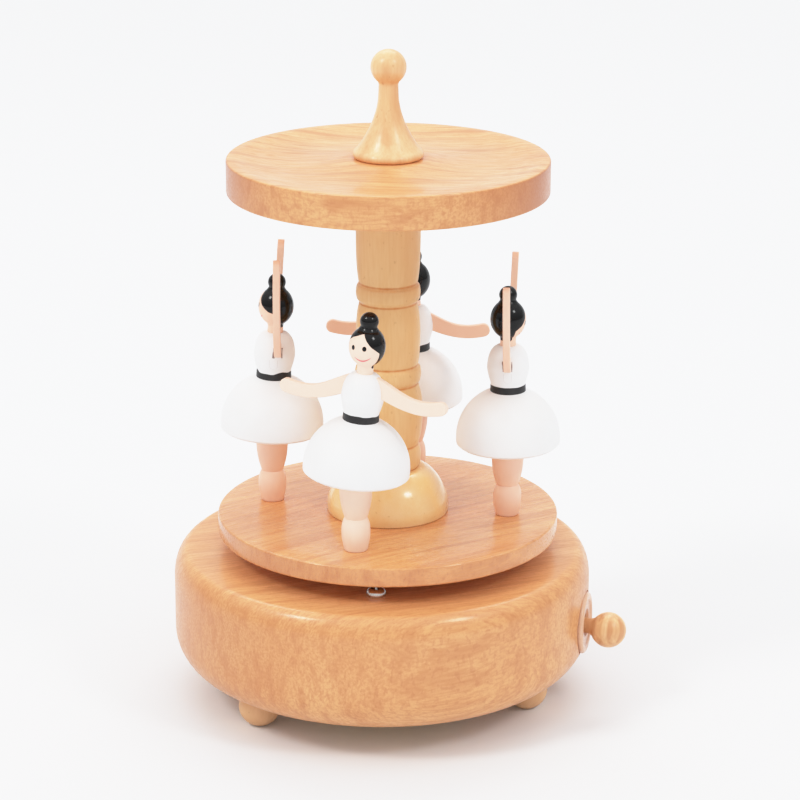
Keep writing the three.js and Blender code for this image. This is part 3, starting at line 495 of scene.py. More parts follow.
def turned_wood(name, pale, deep, shift, gloss=0.42, coat=0.1, stripe=0.4, across=130, burnt=False,
                lay=(0, 0, 0)):
    """Pale close-grained wood with upright grain, faint tool rings and, on request, burnt grooves."""
    colours = bpy.context.scene.music_box_colours
    material, tree, shader, place = finish(name, Coat_Weight=coat, Coat_Roughness=0.18, IOR=1.45)
    grain = rotated(tree, place, lay, shift)
    stripes = ranged(tree, noise(tree, grain, (across, across, 8), 3.0, 0.5), 0.42, 0.62, 0.0, stripe)
    fibre = ranged(tree, noise(tree, grain, (1700, 1700, 110), 2.0), 0.35, 0.7, 0.0, 0.28)
    cloud = ranged(tree, noise(tree, grain, (60, 60, 45), 2.0), 0.35, 0.7, 0.0, 0.35)
    speck = ranged(tree, noise(tree, grain, (900, 900, 500), 1.0), 0.7, 0.78, 0.0, 0.4)
    colour = mixed(tree, stripes, tuple(pale), tuple(deep))
    colour = mixed(tree, fibre, colour, tuple(deep))
    colour = mixed(tree, cloud, colour, tuple(Vector(deep).lerp(Vector(pale), 0.4)))
    colour = mixed(tree, speck, colour, tuple(Vector(deep) * 0.75))
    if burnt:
        gap = painted_value(tree, "groove_gap")
        ragged = maths(tree, "MULTIPLY_ADD", noise(tree, place, (700, 700, 200), 1.0), 0.3, gap)
        line = ranged(tree, ragged, 0.62, 0.2, 0.0, 0.95)
        colour = mixed(tree, line, colour, tuple(colours.burn))
    tree.links.new(colour, shader.inputs["Base Color"])
    tool = noise(tree, grain, (4, 4, 1000), 1.0)
    tree.links.new(ranged(tree, fibre, 0.0, 0.28, gloss - 0.05, gloss + 0.07), shader.inputs["Roughness"])
    bumped(tree, shader, maths(tree, "ADD", tool, fibre), 0.2, 0.04)
    return material


def matt_paint(name, colour, roughness=0.5):
    """Satin paint with faint brush marks and a slight change of tone."""
    material, tree, shader, place = finish(name, IOR=1.45, Coat_Weight=0.05, Coat_Roughness=0.3)
    tone = ranged(tree, noise(tree, place, (160, 160, 160), 3.0), 0.3, 0.7, 0.0, 0.5)
    brush = noise(tree, place, (350, 350, 1600), 2.0)
    shaded = tuple(c * k for c, k in zip(colour, (0.95, 0.93, 0.91)))
    tree.links.new(mixed(tree, tone, tuple(colour), shaded), shader.inputs["Base Color"])
    rough = ranged(tree, brush, 0.3, 0.7, roughness - 0.05, roughness + 0.07)
    tree.links.new(rough, shader.inputs["Roughness"])
    bumped(tree, shader, brush, 0.1, 0.02)
    return material, tree, shader, place


def painted_torso(name):
    """White bodice with a hand-painted belt, filled slots, and thin brown lines at the arms: adhesive, with
    painted shade for the slots' narrow gaps.
    """
    colours = bpy.context.scene.music_box_colours
    material, tree, shader, place = matt_paint(name, colours.white)
    base = shader.inputs["Base Color"].links[0].from_socket
    wobble = noise(tree, place, (420, 420, 420), 2.0)
    glue_and_gap_shade = maths(tree, "MULTIPLY_ADD", wobble, 0.7, painted_value(tree, "glue_and_gap_shade"))
    # Painted shade with adhesive: the brown lines beside raised arms stand for the slots' dark narrow gaps as
    # well as the adhesive.
    glue_and_gap_shaded = mixed(tree, ranged(tree, glue_and_gap_shade, 0.4, 0.22, 0.0, 0.85), base, srgb(108, 72, 56))
    filled = ranged(tree, painted_value(tree, "putty"), 0.12, 0.02, 0.0, 0.35)
    putty = mixed(tree, filled, glue_and_gap_shaded, srgb(176, 160, 150))
    edge = maths(tree, "MULTIPLY_ADD", wobble, 0.3, painted_value(tree, "belt"))
    belt = ranged(tree, edge, 0.1, 0.2)
    worn = tuple(Vector(colours.belt) * 1.9)
    dark = mixed(tree, ranged(tree, wobble, 0.3, 0.7), tuple(colours.belt), worn)
    tree.links.new(mixed(tree, belt, putty, dark), shader.inputs["Base Color"])
    return material


def painted_head(name, skin):
    """A head with glossy black hair, two dot eyes and a thin smile, all painted."""
    colours = bpy.context.scene.music_box_colours
    material, tree, shader, place = finish(name, IOR=1.36)
    wobble = noise(tree, place, (500, 500, 500), 1.0)
    strokes = noise(tree, place, (300, 300, 1400), 2.0)
    tone = ranged(tree, noise(tree, place, (180, 180, 180), 2.0), 0.3, 0.7, 0.0, 0.4)
    colour = mixed(tree, tone, tuple(skin), tuple(c * k for c, k in zip(skin, (0.95, 0.91, 0.88))))
    lips = ranged(tree, painted_value(tree, "smile"), 0.03, -0.03)
    colour = mixed(tree, lips, colour, tuple(colours.lips))
    hair = ranged(tree, maths(tree, "MULTIPLY_ADD", wobble, 0.16, painted_value(tree, "hair")), 0.05, 0.11)
    eyes = ranged(tree, painted_value(tree, "eyes"), 0.03, -0.03)
    black = maths(tree, "MAXIMUM", hair, eyes)
    lit = tuple(Vector(colours.black) * 1.6)
    sheen = mixed(tree, ranged(tree, strokes, 0.45, 0.75), tuple(colours.black), lit)
    tree.links.new(mixed(tree, black, colour, sheen), shader.inputs["Base Color"])
    tree.links.new(ranged(tree, black, 0.0, 1.0, 0.48, 0.13), shader.inputs["Roughness"])
    relief = maths(tree, "ADD", black, maths(tree, "MULTIPLY", strokes, 0.3))
    bumped(tree, shader, relief, 0.3, 0.06)
    return material


def metal(name, colour, roughness, scale=(900, 900, 900)):
    """Metal with fine uneven brushing and slight dulling."""
    material, tree, shader, place = finish(name, Metallic=1.0)
    brushed = noise(tree, place, scale, 3.0)
    dull = noise(tree, place, (220, 220, 220), 2.0)
    shade = mixed(tree, ranged(tree, dull, 0.4, 0.7), colour, tuple(c * 0.8 for c in colour))
    tree.links.new(shade, shader.inputs["Base Color"])
    rough = ranged(tree, brushed, 0.3, 0.7, roughness - 0.06, roughness + 0.1)
    tree.links.new(rough, shader.inputs["Roughness"])
    bumped(tree, shader, brushed, 0.08, 0.02)
    return material


# ---------------------------------------------------------------- the base


# The movement's pocket: outline of the bedplate from the spindle, along and across, in millimetres.
PLATE = {"near": 16, "half": 19.5, "shoulder": 33, "nose": 43.6, "nose_half": 5.5}
MOVEMENT_AZIMUTH = -81.2
POCKET_GAP = 0.6
LEDGE = 5
NOSE_LEDGE = 2.4
SPINDLE_OFF_MIDDLE = 1.7
SPOT_FACE = 1.5


def plate_outline(grow, nose_grow):
    """The bedplate's outline, grown evenly all round and by its own amount at the nose."""
    along = PLATE["nose"] - PLATE["shoulder"]
    across = PLATE["half"] - PLATE["nose_half"]
    side = PLATE["half"] + grow
    shoulder = PLATE["shoulder"] + grow * (math.hypot(along, across) - along) / across
    nose = PLATE["nose"] + nose_grow
    half = side - (nose - shoulder) * across / along
    near = -PLATE["near"] - grow
    return [(near, -side), (shoulder, -side), (nose, -half), (nose, half), (shoulder, side), (near, side)]


def pocket_cutter(name, grow, nose_grow, low, high):
    """A block with the bedplate's outline, standing on the movement's place."""
    block = plate(name, plate_outline(grow, nose_grow), high - low)
    lying = Matrix.Rotation(math.radians(90), 4, "X")
    return move(block, upright(SPINDLE.x, 0, (low + high) / 2 * MM, MOVEMENT_AZIMUTH) @ lying)


def bore(name, radius, low, high, place, sides=48):
    """A rod that cuts a round hole."""
    return move(turned(name, [(0, low), (radius, low), (radius, high), (0, high)], sides), place)


class MUSICBOX_OT_base(bpy.types.Operator):
    """Turns the round base, its feet and the ring round the knob"""

    bl_idname = "music_box.base"
    bl_label = "Base"

    def execute(self, context):
        sizes = context.scene.music_box_sizes
        colours = context.scene.music_box_colours
        radius = sizes.base_radius / MM
        axis = SPINDLE.x - SPINDLE_OFF_MIDDLE * MM
        block = turned("base_block", [
            (0, BASE_LOW),
            *arc((radius - 14, BASE_LOW + 12.7), 14, 12.7, -90, 0, 18),
            *arc((radius - 4.5, BASE_TOP - 8), 4.5, 8, 0, 90, 14),
            *[(radius - 4.5 - 7 * k, BASE_TOP) for k in range(1, 8)],
            (0, BASE_TOP),
        ], 192)
        move(block, upright(axis, 0))
        ceiling = top("bedplate")
        spot = axis + (radius - SPOT_FACE) * MM
        knob_line = middle("knob_ring").z
        from_side = Matrix.Translation((spot, 0, knob_line)) @ ALONG_X
        cutters = [
            pocket_cutter("pocket", POCKET_GAP, POCKET_GAP, BASE_LOW - 1, ceiling),
            pocket_cutter("rebate", POCKET_GAP + LEDGE, POCKET_GAP + NOSE_LEDGE, BASE_LOW - 1,
                          BASE_LOW + 2.5),
            bore("spindle_hole", 3.4, ceiling - 1, BASE_TOP + 1, upright(SPINDLE.x, 0)),
            bore("spot_face", 9.5, 0, 4, from_side, 96),
            bore("knob_bore", 4, -44, 1, from_side),
        ]
        carve(block, *cutters)
        beech_base = beech("Lacquered beech, base", (0, 0, -33), (0.31, 0.07, 0.11))
        finished(block, "base", "drum", ["drum"], beech_base)

        ball = turned("ball_foot_1", [
            (0, 0), *arc((0, 5.8), 6.1, 6.1, -72, 36, 26),
            (2, BASE_LOW + 1), (2, BASE_LOW + 9), (0, BASE_LOW + 9),
        ], 64)
        tan = turned_wood("Ball feet", srgb(232, 186, 142), srgb(212, 160, 112), (0.2, 0.1, 0), 0.5, 0.05,
                          0.35)
        feet = [ball, copied(ball, "ball_foot_2"), copied(ball, "ball_foot_3")]
        for number, foot in enumerate(feet, 1):
            place = middle(f"foot_{number}")
            move(foot, upright(place.x, place.y, 0, 40 * number))
            finished(foot, "base", "feet", [f"foot_{number}"], tan)

        ring = turned("knob_washer", [
            (3.5, 0), (8.95, 0), *arc((7.95, 1.2), 1.1, 1.0, -20, 90, 12), (7.2, 2.15), (6.8, 1.95),
            (6.5, 1.7), (4.2, 1.7), (3.5, 0.9), (3.5, 0),
        ], 96)
        move(ring, Matrix.Translation((spot + 0.05 * MM, 0, knob_line)) @ ALONG_X)
        rosy = turned_wood("Ring round the knob", srgb(226, 180, 148), srgb(205, 156, 124), (0, 0, 0), 0.3,
                           0.4, 0.3, lay=(0, 90, 0))
        finished(ring, "base", "knob_ring", ["knob_ring"], rosy)
        sawn = turned_wood("Bottom cover", colours.maple, srgb(222, 180, 128), (0.4, 0, 0), 0.5, 0.0, 0.5,
                           lay=(0, 90, 0))
        clad("bottom_cover", sawn)
        return {"FINISHED"}


class MUSICBOX_OT_knob(bpy.types.Operator):
    """Turns the ball knob and its stem"""

    bl_idname = "music_box.knob"
    bl_label = "Stop knob"

    def execute(self, context):
        radius, stem = 5.2, 2.25
        inner, outer = (corner.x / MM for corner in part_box("stop_knob"))
        length = outer - radius - inner
        meets = -math.degrees(math.acos(stem / radius))
        knob = turned("turned_knob", [
            (0, 5), (0.8, 5), (0.8, 0), (2.1, 0), (stem, 0.2), (stem, length - 5.6), (2.4, length - 5.1),
            *arc((0, length), radius, radius, meets + 6, 90, 30),
        ], 72)
        lip = Matrix.Translation((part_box("knob_ring")[1].x, 0, KNOB.z))
        lifted = Matrix.Translation((0, 0, 0.45 * MM))
        droop = lifted @ lip @ Matrix.Rotation(math.radians(KNOB_DROOP), 4, "Y") @ lip.inverted()
        move(knob, droop @ Matrix.Translation((inner * MM, 0, KNOB.z)) @ ALONG_X)
        tan = turned_wood("Turned knob", srgb(244, 196, 146), srgb(196, 130, 82), (0.04, 0.02, 0), 0.36, 0.2,
                          0.75, 380, lay=(20, 0, 0))
        finished(knob, "stop", "stop_knob", ["stop_knob"], tan)
        return {"FINISHED"}


class MUSICBOX_OT_screws(bpy.types.Operator):
    """Makes the pan-head screws with their crossed slots"""

    bl_idname = "music_box.screws"
    bl_label = "Screws"

    def screw(self, name, head, height, shank, length):
        """A screw from its head's radius and height and its shank's radius and length."""
        body = turned(name, [
            (0, -length), (shank * 0.5, -length + 0.2), (shank, -length + 0.9), (shank, 0), (head - 0.15, 0),
            *arc((head * 0.55, height * 0.3), head * 0.45, height * 0.7, -20, 90, 12), (0, height),
        ], 48)
        for turn in (0, 90):
            reach = head * 0.58
            floor, deep, rim = reach * 0.55, height * 0.35, height + 0.5
            cutter = plate("slot", [(-floor, deep), (floor, deep), (reach, rim), (-reach, rim)], head * 0.22)
            carve(body, move(cutter, upright(0, 0, 0, turn)))
        return body

    def execute(self, context):
        nickel = metal("Nickel", (0.72, 0.70, 0.66), 0.2)
        plate_screw = self.screw("plate_screw", 2.8, 2.1, 1.5, 10.9)
        for number in range(1, 4):
            place = middle(f"mount_screw_{number}")
            piece = copied(plate_screw, f"pan_screw_{number}")
            move(piece, upright(place.x, place.y, BASE_TOP * MM, 30 * number - 10))
            finished(piece, "base", "mount_screws", [f"mount_screw_{number}"], nickel)
        cover_screw = self.screw("cover_screw", 2.4, 1.6, 1.1, 7)
        over = Matrix.Rotation(math.pi, 4, "X")
        for number in range(1, 5):
            place = middle(f"cover_screw_{number}")
            piece = copied(cover_screw, f"bottom_screw_{number}")
            move(piece, upright(place.x, place.y, BASE_LOW * MM, 25 * number) @ over)
            finished(piece, "base", "cover_screws", [f"cover_screw_{number}"], nickel)
        for pattern in (plate_screw, cover_screw):
            bpy.data.objects.remove(pattern)
        return {"FINISHED"}


class MUSICBOX_OT_movement(bpy.types.Operator):
    """Gives the movement's parts their metals"""

    bl_idname = "music_box.movement"
    bl_label = "Movement"

    def execute(self, context):
        zinc = metal("Cast zinc", (0.60, 0.61, 0.62), 0.5, (400, 400, 400))
        steel = metal("Bright steel", (0.66, 0.67, 0.69), 0.28)
        spring = metal("Blued spring steel", (0.34, 0.36, 0.42), 0.3)
        brass = metal("Brass", (0.80, 0.58, 0.26), 0.28)
        for node_name, finish_used in (
            ("bedplate", zinc), ("spring_housing", zinc), ("mainspring", spring), ("comb", steel),
            ("comb_screw_1", steel), ("comb_screw_2", steel), ("governor_bracket", brass), ("spindle", steel),
            ("great_wheel", brass), ("pinned_cylinder", brass), ("governor_fly", brass), ("stop_wire", steel),
        ):
            clad(node_name, finish_used)
        return {"FINISHED"}


# ---------------------------------------------------------------- the carousel


class MUSICBOX_OT_disc(bpy.types.Operator):
    """Turns the disc that the dancers stand on"""

    bl_idname = "music_box.disc"
    bl_label = "Turning disc"

    def execute(self, context):
        sizes = context.scene.music_box_sizes
        radius, edge = sizes.disc_radius / MM, sizes.edge_wear / MM
        low, high = bottom("turntable"), TABLE_TOP
        disc = turned("turning_disc", [
            (2.7, low), (radius - edge, low), *arc((radius - edge, low + edge), edge, edge, -80, 0, 5),
            *arc((radius - edge, high - edge), edge, edge, 0, 90, 6),
            *[(radius - edge - 6 * k, high) for k in range(1, 8)], (2.7, high), (2.7, low),
        ], 192)
        move(disc, upright(SPINDLE.x, 0))
        material = beech("Lacquered beech, disc", (0, 0, -48), (0.13, 0.41, 0.07), 0.3, 0.5, 0.6)
        finished(disc, "carousel", "turntable", ["turntable"], material)
        return {"FINISHED"}


class MUSICBOX_OT_column(bpy.types.Operator):
    """Turns the column, its domed foot, the canopy and the finial"""

    bl_idname = "music_box.column"
    bl_label = "Column and canopy"

    # The column's swellings: height, and radius at the lower end, middle and upper end.
    swellings = (
        (7.1, 9.0, 9.68, 9.0), (18.4, 8.98, 10.1, 8.85), (5.7, 8.9, 9.6, 8.8), (18.5, 8.8, 9.28, 8.42),
        (5.9, 8.5, 9.3, 8.57), (25.0, 8.57, 9.3, 9.15),
    )

    def column(self):
        foot_top = top("column_foot")
        canopy = CANOPY_LOW
        cove = 0.5
        profile = [(0, foot_top - 3.3), (4, foot_top - 3.3), (4, foot_top), (8.7, foot_top)]
        grooves = [foot_top + 0.1]
        low = foot_top
        for height, lower, middle_radius, upper in self.swellings:
            high = low + height
            profile += smooth([
                (lower - 0.16, low + 0.1), (lower, low + cove),
                ((lower + 2 * middle_radius) / 3, low + height * 0.2), (middle_radius, low + height / 2),
                ((upper + 2 * middle_radius) / 3, low + height * 0.8), (upper, high - cove),
                (upper - 0.16, high - 0.1),
            ], 5)
            grooves.append(high)
            low = high
        grooves.pop()
        profile += [(9.1, low + 0.3), (9.1, canopy), (4, canopy), (4, canopy + 4.8), (0, canopy + 4.8)]
        column = turned("turned_pillar", profile, 128)
        paint(column, "groove_gap", lambda x, y, z: min(abs(z - g) for g in grooves))
        move(column, upright(SPINDLE.x, 0))
        wood = turned_wood("Maple pillar", srgb(234, 190, 136), srgb(216, 160, 102), (0.3, 0.2, 0), 0.46,
                           0.06, 0.35, burnt=True)
        finished(column, "carousel", "column", ["column"], wood)

    def foot(self, colours):
        low, high = TABLE_TOP, top("column_foot")
        foot = turned("pedestal_foot", [
            (2.7, low), (17.3, low), (17.55, low + 0.15), (17.7, low + 0.5),
            *smooth([(17.7, low + 2.4), (17.5, low + 3.9), (16.8, low + 6), (15.4, low + 8.9),
                     (13.2, low + 11.6), (11.2, low + 13.0), (9.9, high)], 6),
            (4.2, high), (4.2, high - 3.5), (2.7, high - 3.5), (2.7, low),
        ], 128)
        # A thin dark line in the burnt colour is painted round the foot's lower edge, where it sits on the
        # disc.
        paint(foot, "groove_gap", lambda x, y, z: abs(z - low) * 2.2)
        move(foot, upright(SPINDLE.x, 0))
        wood = turned_wood("Honey lacquered foot", colours.honey, srgb(240, 190, 126), (0.1, 0.33, 0.02),
                           0.22, 0.6, 0.55, burnt=True, lay=(68, 20, 0))
        finished(foot, "carousel", "column_foot", ["column_foot"], wood)

    def canopy(self, sizes):
        radius, edge = sizes.canopy_radius / MM, sizes.edge_wear / MM
        low, high = CANOPY_LOW, CANOPY_TOP
        rim = radius - 2.6
        boss = 11.6
        shares = [1 - step / 15 for step in range(31)]
        hollow = [((rim + boss) / 2 + (rim - boss) / 2 * t, high - 1.8 * (1 - t * t)) for t in shares]
        canopy = turned("top_disc", [
            (0, low + 5), (4.2, low + 5), (4.2, low), *[(4.2 + 7.5 * k, low) for k in range(1, 6)],
            (radius - edge, low), *arc((radius - edge, low + edge), edge, edge, -80, 0, 5),
            *arc((radius - edge, high - edge), edge, edge, 0, 90, 6), (rim + 0.3, high),
            *hollow[1:-1], (boss, high), (3.2, high), (3.2, high - 4), (0, high - 4),
        ], 192, 30)
        move(canopy, upright(SPINDLE.x, 0))
        material = beech("Lacquered beech, canopy", (0, 0, -8), (0.52, 0.23, 0.31), 0.34, 0.3, 0.7, 0.2, 1.0)
        finished(canopy, "carousel", "canopy", ["canopy"], material)

    def finial(self):
        low = CANOPY_TOP
        neck = low + 21.7
        radius = 5.1
        meets = math.degrees(math.acos(2.8 / radius))
        ball = neck + radius * math.sin(math.radians(meets))
        finial = turned("top_finial", [
            (0, low - 3.8), (3, low - 3.8), (3, low), (9.0, low),
            *smooth([(9.5, low + 0.15), (9.95, low + 0.6), (10.1, low + 1.3), (9.75, low + 2.1),
                     (8.7, low + 3.2), (6.9, low + 5.9), (5.5, low + 8.5), (4.5, low + 10.8),
                     (3.6, low + 13.6), (3.0, low + 16.8), (2.82, neck - 0.6)], 5),
            (2.95, neck - 0.15), *arc((0, ball), radius, radius, -meets + 4, 90, 32),
        ], 96)
        move(finial, upright(SPINDLE.x, 0))
        wood = turned_wood("Maple finial", srgb(247, 205, 157), srgb(214, 152, 102), (0.012, 0.047, 0), 0.36,
                           0.2, 0.6, 170)
        finished(finial, "carousel", "finial", ["finial"], wood)

    def execute(self, context):
        sizes = context.scene.music_box_sizes
        colours = context.scene.music_box_colours
        self.column()
        self.foot(colours)
        self.canopy(sizes)
        self.finial()
        return {"FINISHED"}


# ---------------------------------------------------------------- the dancers


def doll_place(name):
    """The place of a dancer's feet on the disc, turned to the way it faces."""
    dancer = DANCERS[name]
    angle = math.radians(dancer["azimuth"])
    x = SPINDLE.x + RING_OF_DANCERS * MM * math.cos(angle)
    y = RING_OF_DANCERS * MM * math.sin(angle)
    return upright(x, y, TABLE_TOP * MM, dancer["faces"])


def leaning(name):
    """The place of a dancer's upper part, which leans about the top of the legs."""
    dancer = DANCERS[name]
    way = math.radians(dancer["towards"] - dancer["faces"])
    turn = Quaternion((-math.sin(way), math.cos(way), 0), math.radians(dancer["lean"]))
    pivot = Matrix.Translation((0, 0, LEG_LENGTH * MM))
    sunk = Matrix.Translation((0, 0, -dancer["sinks"] * MM))
    return doll_place(name) @ sunk @ pivot @ turn.to_matrix().to_4x4() @ pivot.inverted()


# How each arm was glued in: rolled about the way the dancer faces and tipped forward in degrees, then
# set forward, to the dancer's left and up in millimetres.
SET_IN = {
    ("front", "left"): (3.4, 0, 0, 0, 0), ("front", "right"): (3.4, 0, 0, 0, 0),
    ("back", "left"): (0.8, 0, 0, 0.5, 0), ("back", "right"): (2.0, 0, 0, 2.3, 0),
    ("left", "left"): (0, 2.2, -1.1, 0, 0.3), ("left", "right"): (0, -1.6, 0.3, 0, 0.9),
    ("right", "left"): (0, 3.0, 0.3, 0, 1.2), ("right", "right"): (0, 0, 0, 0, 0.3),
}


def set_in(roll, tip, forward, sideways, up):
    """How an arm is turned about its shoulder and moved."""
    shoulder = Matrix.Translation((0, 0, (TORSO_TOP - 5) * MM))
    rolled = Matrix.Rotation(math.radians(roll), 4, "X") @ Matrix.Rotation(math.radians(tip), 4, "Y")
    moved = Matrix.Translation((forward * MM, sideways * MM, up * MM))
    return moved @ shoulder @ rolled @ shoulder.inverted()


def arm_edges(pose):
    """The two long edges of an arm from the shoulder out, and its rounded hand."""
    shape = ARM_LINES[pose]
    points = [Vector((s, TORSO_TOP + up)) for s, up in shape["line"]]
    steps = 28
    upper, lower = [], []
    for step in range(steps + 1):
        t = step / steps
        place = sum((
            p * k for p, k in zip(points, ((1 - t) ** 3, 3 * t * (1 - t) ** 2, 3 * t * t * (1 - t), t ** 3))
        ), Vector((0, 0)))
        heading = sum((
            (b - a) * k for a, b, k in zip(points, points[1:], ((1 - t) ** 2, 2 * t * (1 - t), t * t))
        ), Vector((0, 0))).normalized()
        half = shape["shoulder"] + (shape["hand"] - shape["shoulder"]) * min(1, t * 1.6)
        across = Vector((-heading.y, heading.x)) * half
        upper.append(tuple(place + across))
        lower.append(tuple(place - across))
    facing = math.degrees(math.atan2(heading.y, heading.x))
    hand = arc(tuple(place), shape["hand"], shape["hand"], facing + 90, facing - 90, 16)[1:-1]
    return upper, lower, hand


def clipped(points, at):
    """Cuts an edge line off at the floor of the shoulder slot."""
    inside = [p for p in points if p[0] > at]
    first = inside[0]
    before = points[max(0, points.index(first) - 1)]
    if before[0] >= at:
        return [(at, first[1]), *inside]
    share = (at - before[0]) / (first[0] - before[0])
    return [(at, before[1] + (first[1] - before[1]) * share), *inside]


def hairline(turn, drop, reach):
    """The height of the hair's edge round the head, by the angle from the middle of the face."""
    points = (
        (-180, -9), (-86, -7.5), (-78, -5), (-73, -1.5), (-62, 1.6), (-40, 2.9), (-24, 3.46), (-8, 4.0),
        (5, 4.3), (12, 3.5), (19, 2.66), (36, 1.02), (52, 0.1), (66, -0.7), (reach, -1.2),
        (reach + 3, -3.7), (reach + 6, -5), (reach + 12, -8), (180, -9),
    )
    for (a, low), (b, high) in zip(points, points[1:]):
        if a <= turn <= b:
            share = (turn - a) / (b - a)
            return low + (high - low) * share - drop
    return points[-1][1]


def paint_head(head, mirror, drop, reach):
    """Paints signed distances for the hair, the eyes and the smile on a head that faces +X."""

    def angle(x, y):
        return math.degrees(math.atan2(y, x)) * mirror

    def hair(x, y, z):
        up = z - HEAD_MIDDLE
        turn = angle(x, y)
        if up > HEAD_HALF * 0.86:
            return 2.0
        if z < TORSO_TOP + 1.9:
            return -2.0
        gap = up - hairline(turn, drop, reach)
        side = (abs(turn) - reach) * 0.09 if abs(turn) > reach - 6 else -9
        return max(-2.0, min(2.0, max(gap * 0.75, side)))

    def eyes(x, y, z):
        up, turn = z - HEAD_MIDDLE + drop * 0.6, angle(x, y)
        away = []
        for centre, height in ((-25, 0.3), (15, 0.55)):
            across = math.radians(turn - centre) * HEAD_RADIUS
            away.append(math.hypot(across / 0.62, (up - height) / 0.72) - 1)
        return max(-1.0, min(2.0, min(away))) * 0.5

    def smile(x, y, z):
        up, turn = z - HEAD_MIDDLE + drop * 0.6, angle(x, y)
        across = (turn - 9) / 31
        if abs(across) > 1:
            return 1.0
        line = -3.2 + 0.2 * across + 1.1 * across * across
        return abs(up - line) - 0.24 * math.sqrt(max(0.0, 1 - across * across)) - 0.02

    paint(head, "hair", hair)
    paint(head, "eyes", eyes)
    paint(head, "smile", smile)


def paint_torso(torso, wave, arm_low, slots_show, shifts):
    """Paints distances for the belt's edges, the adhesive lines with painted gap shade at the arms and the
    filled slot under them.
    """

    def belt(x, y, z):
        turn = math.atan2(y, x)
        upper = BELT_TOP - 0.1 + wave * (math.sin(3 * turn + 1.3) + 0.5 * math.sin(7 * turn))
        lower = SKIRT_TOP - 0.15 + 0.3 * wave * math.sin(2 * turn)
        return max(-1.0, min(1.0, min(upper - z, z - lower)))

    # Lines along both faces of each raised arm: adhesive, and painted shade where the slot's gaps would be
    # dark.
    def glue_and_gap_shade(x, y, z):
        away = abs(abs(x - shifts[y < 0]) - 1.2) - 0.25
        if not slots_show or abs(y) < 2.5 or z < arm_low + 0.2 or z > TORSO_TOP - 3.2:
            return 2.0
        return away

    def putty(x, y, z):
        if abs(y) < 3 or z > arm_low or z < 42:
            return 1.0
        return abs(math.hypot(x, max(0.0, 43.4 - z)) - 1.15)

    paint(torso, "belt", belt)
    paint(torso, "glue_and_gap_shade", glue_and_gap_shade)
    paint(torso, "putty", putty)


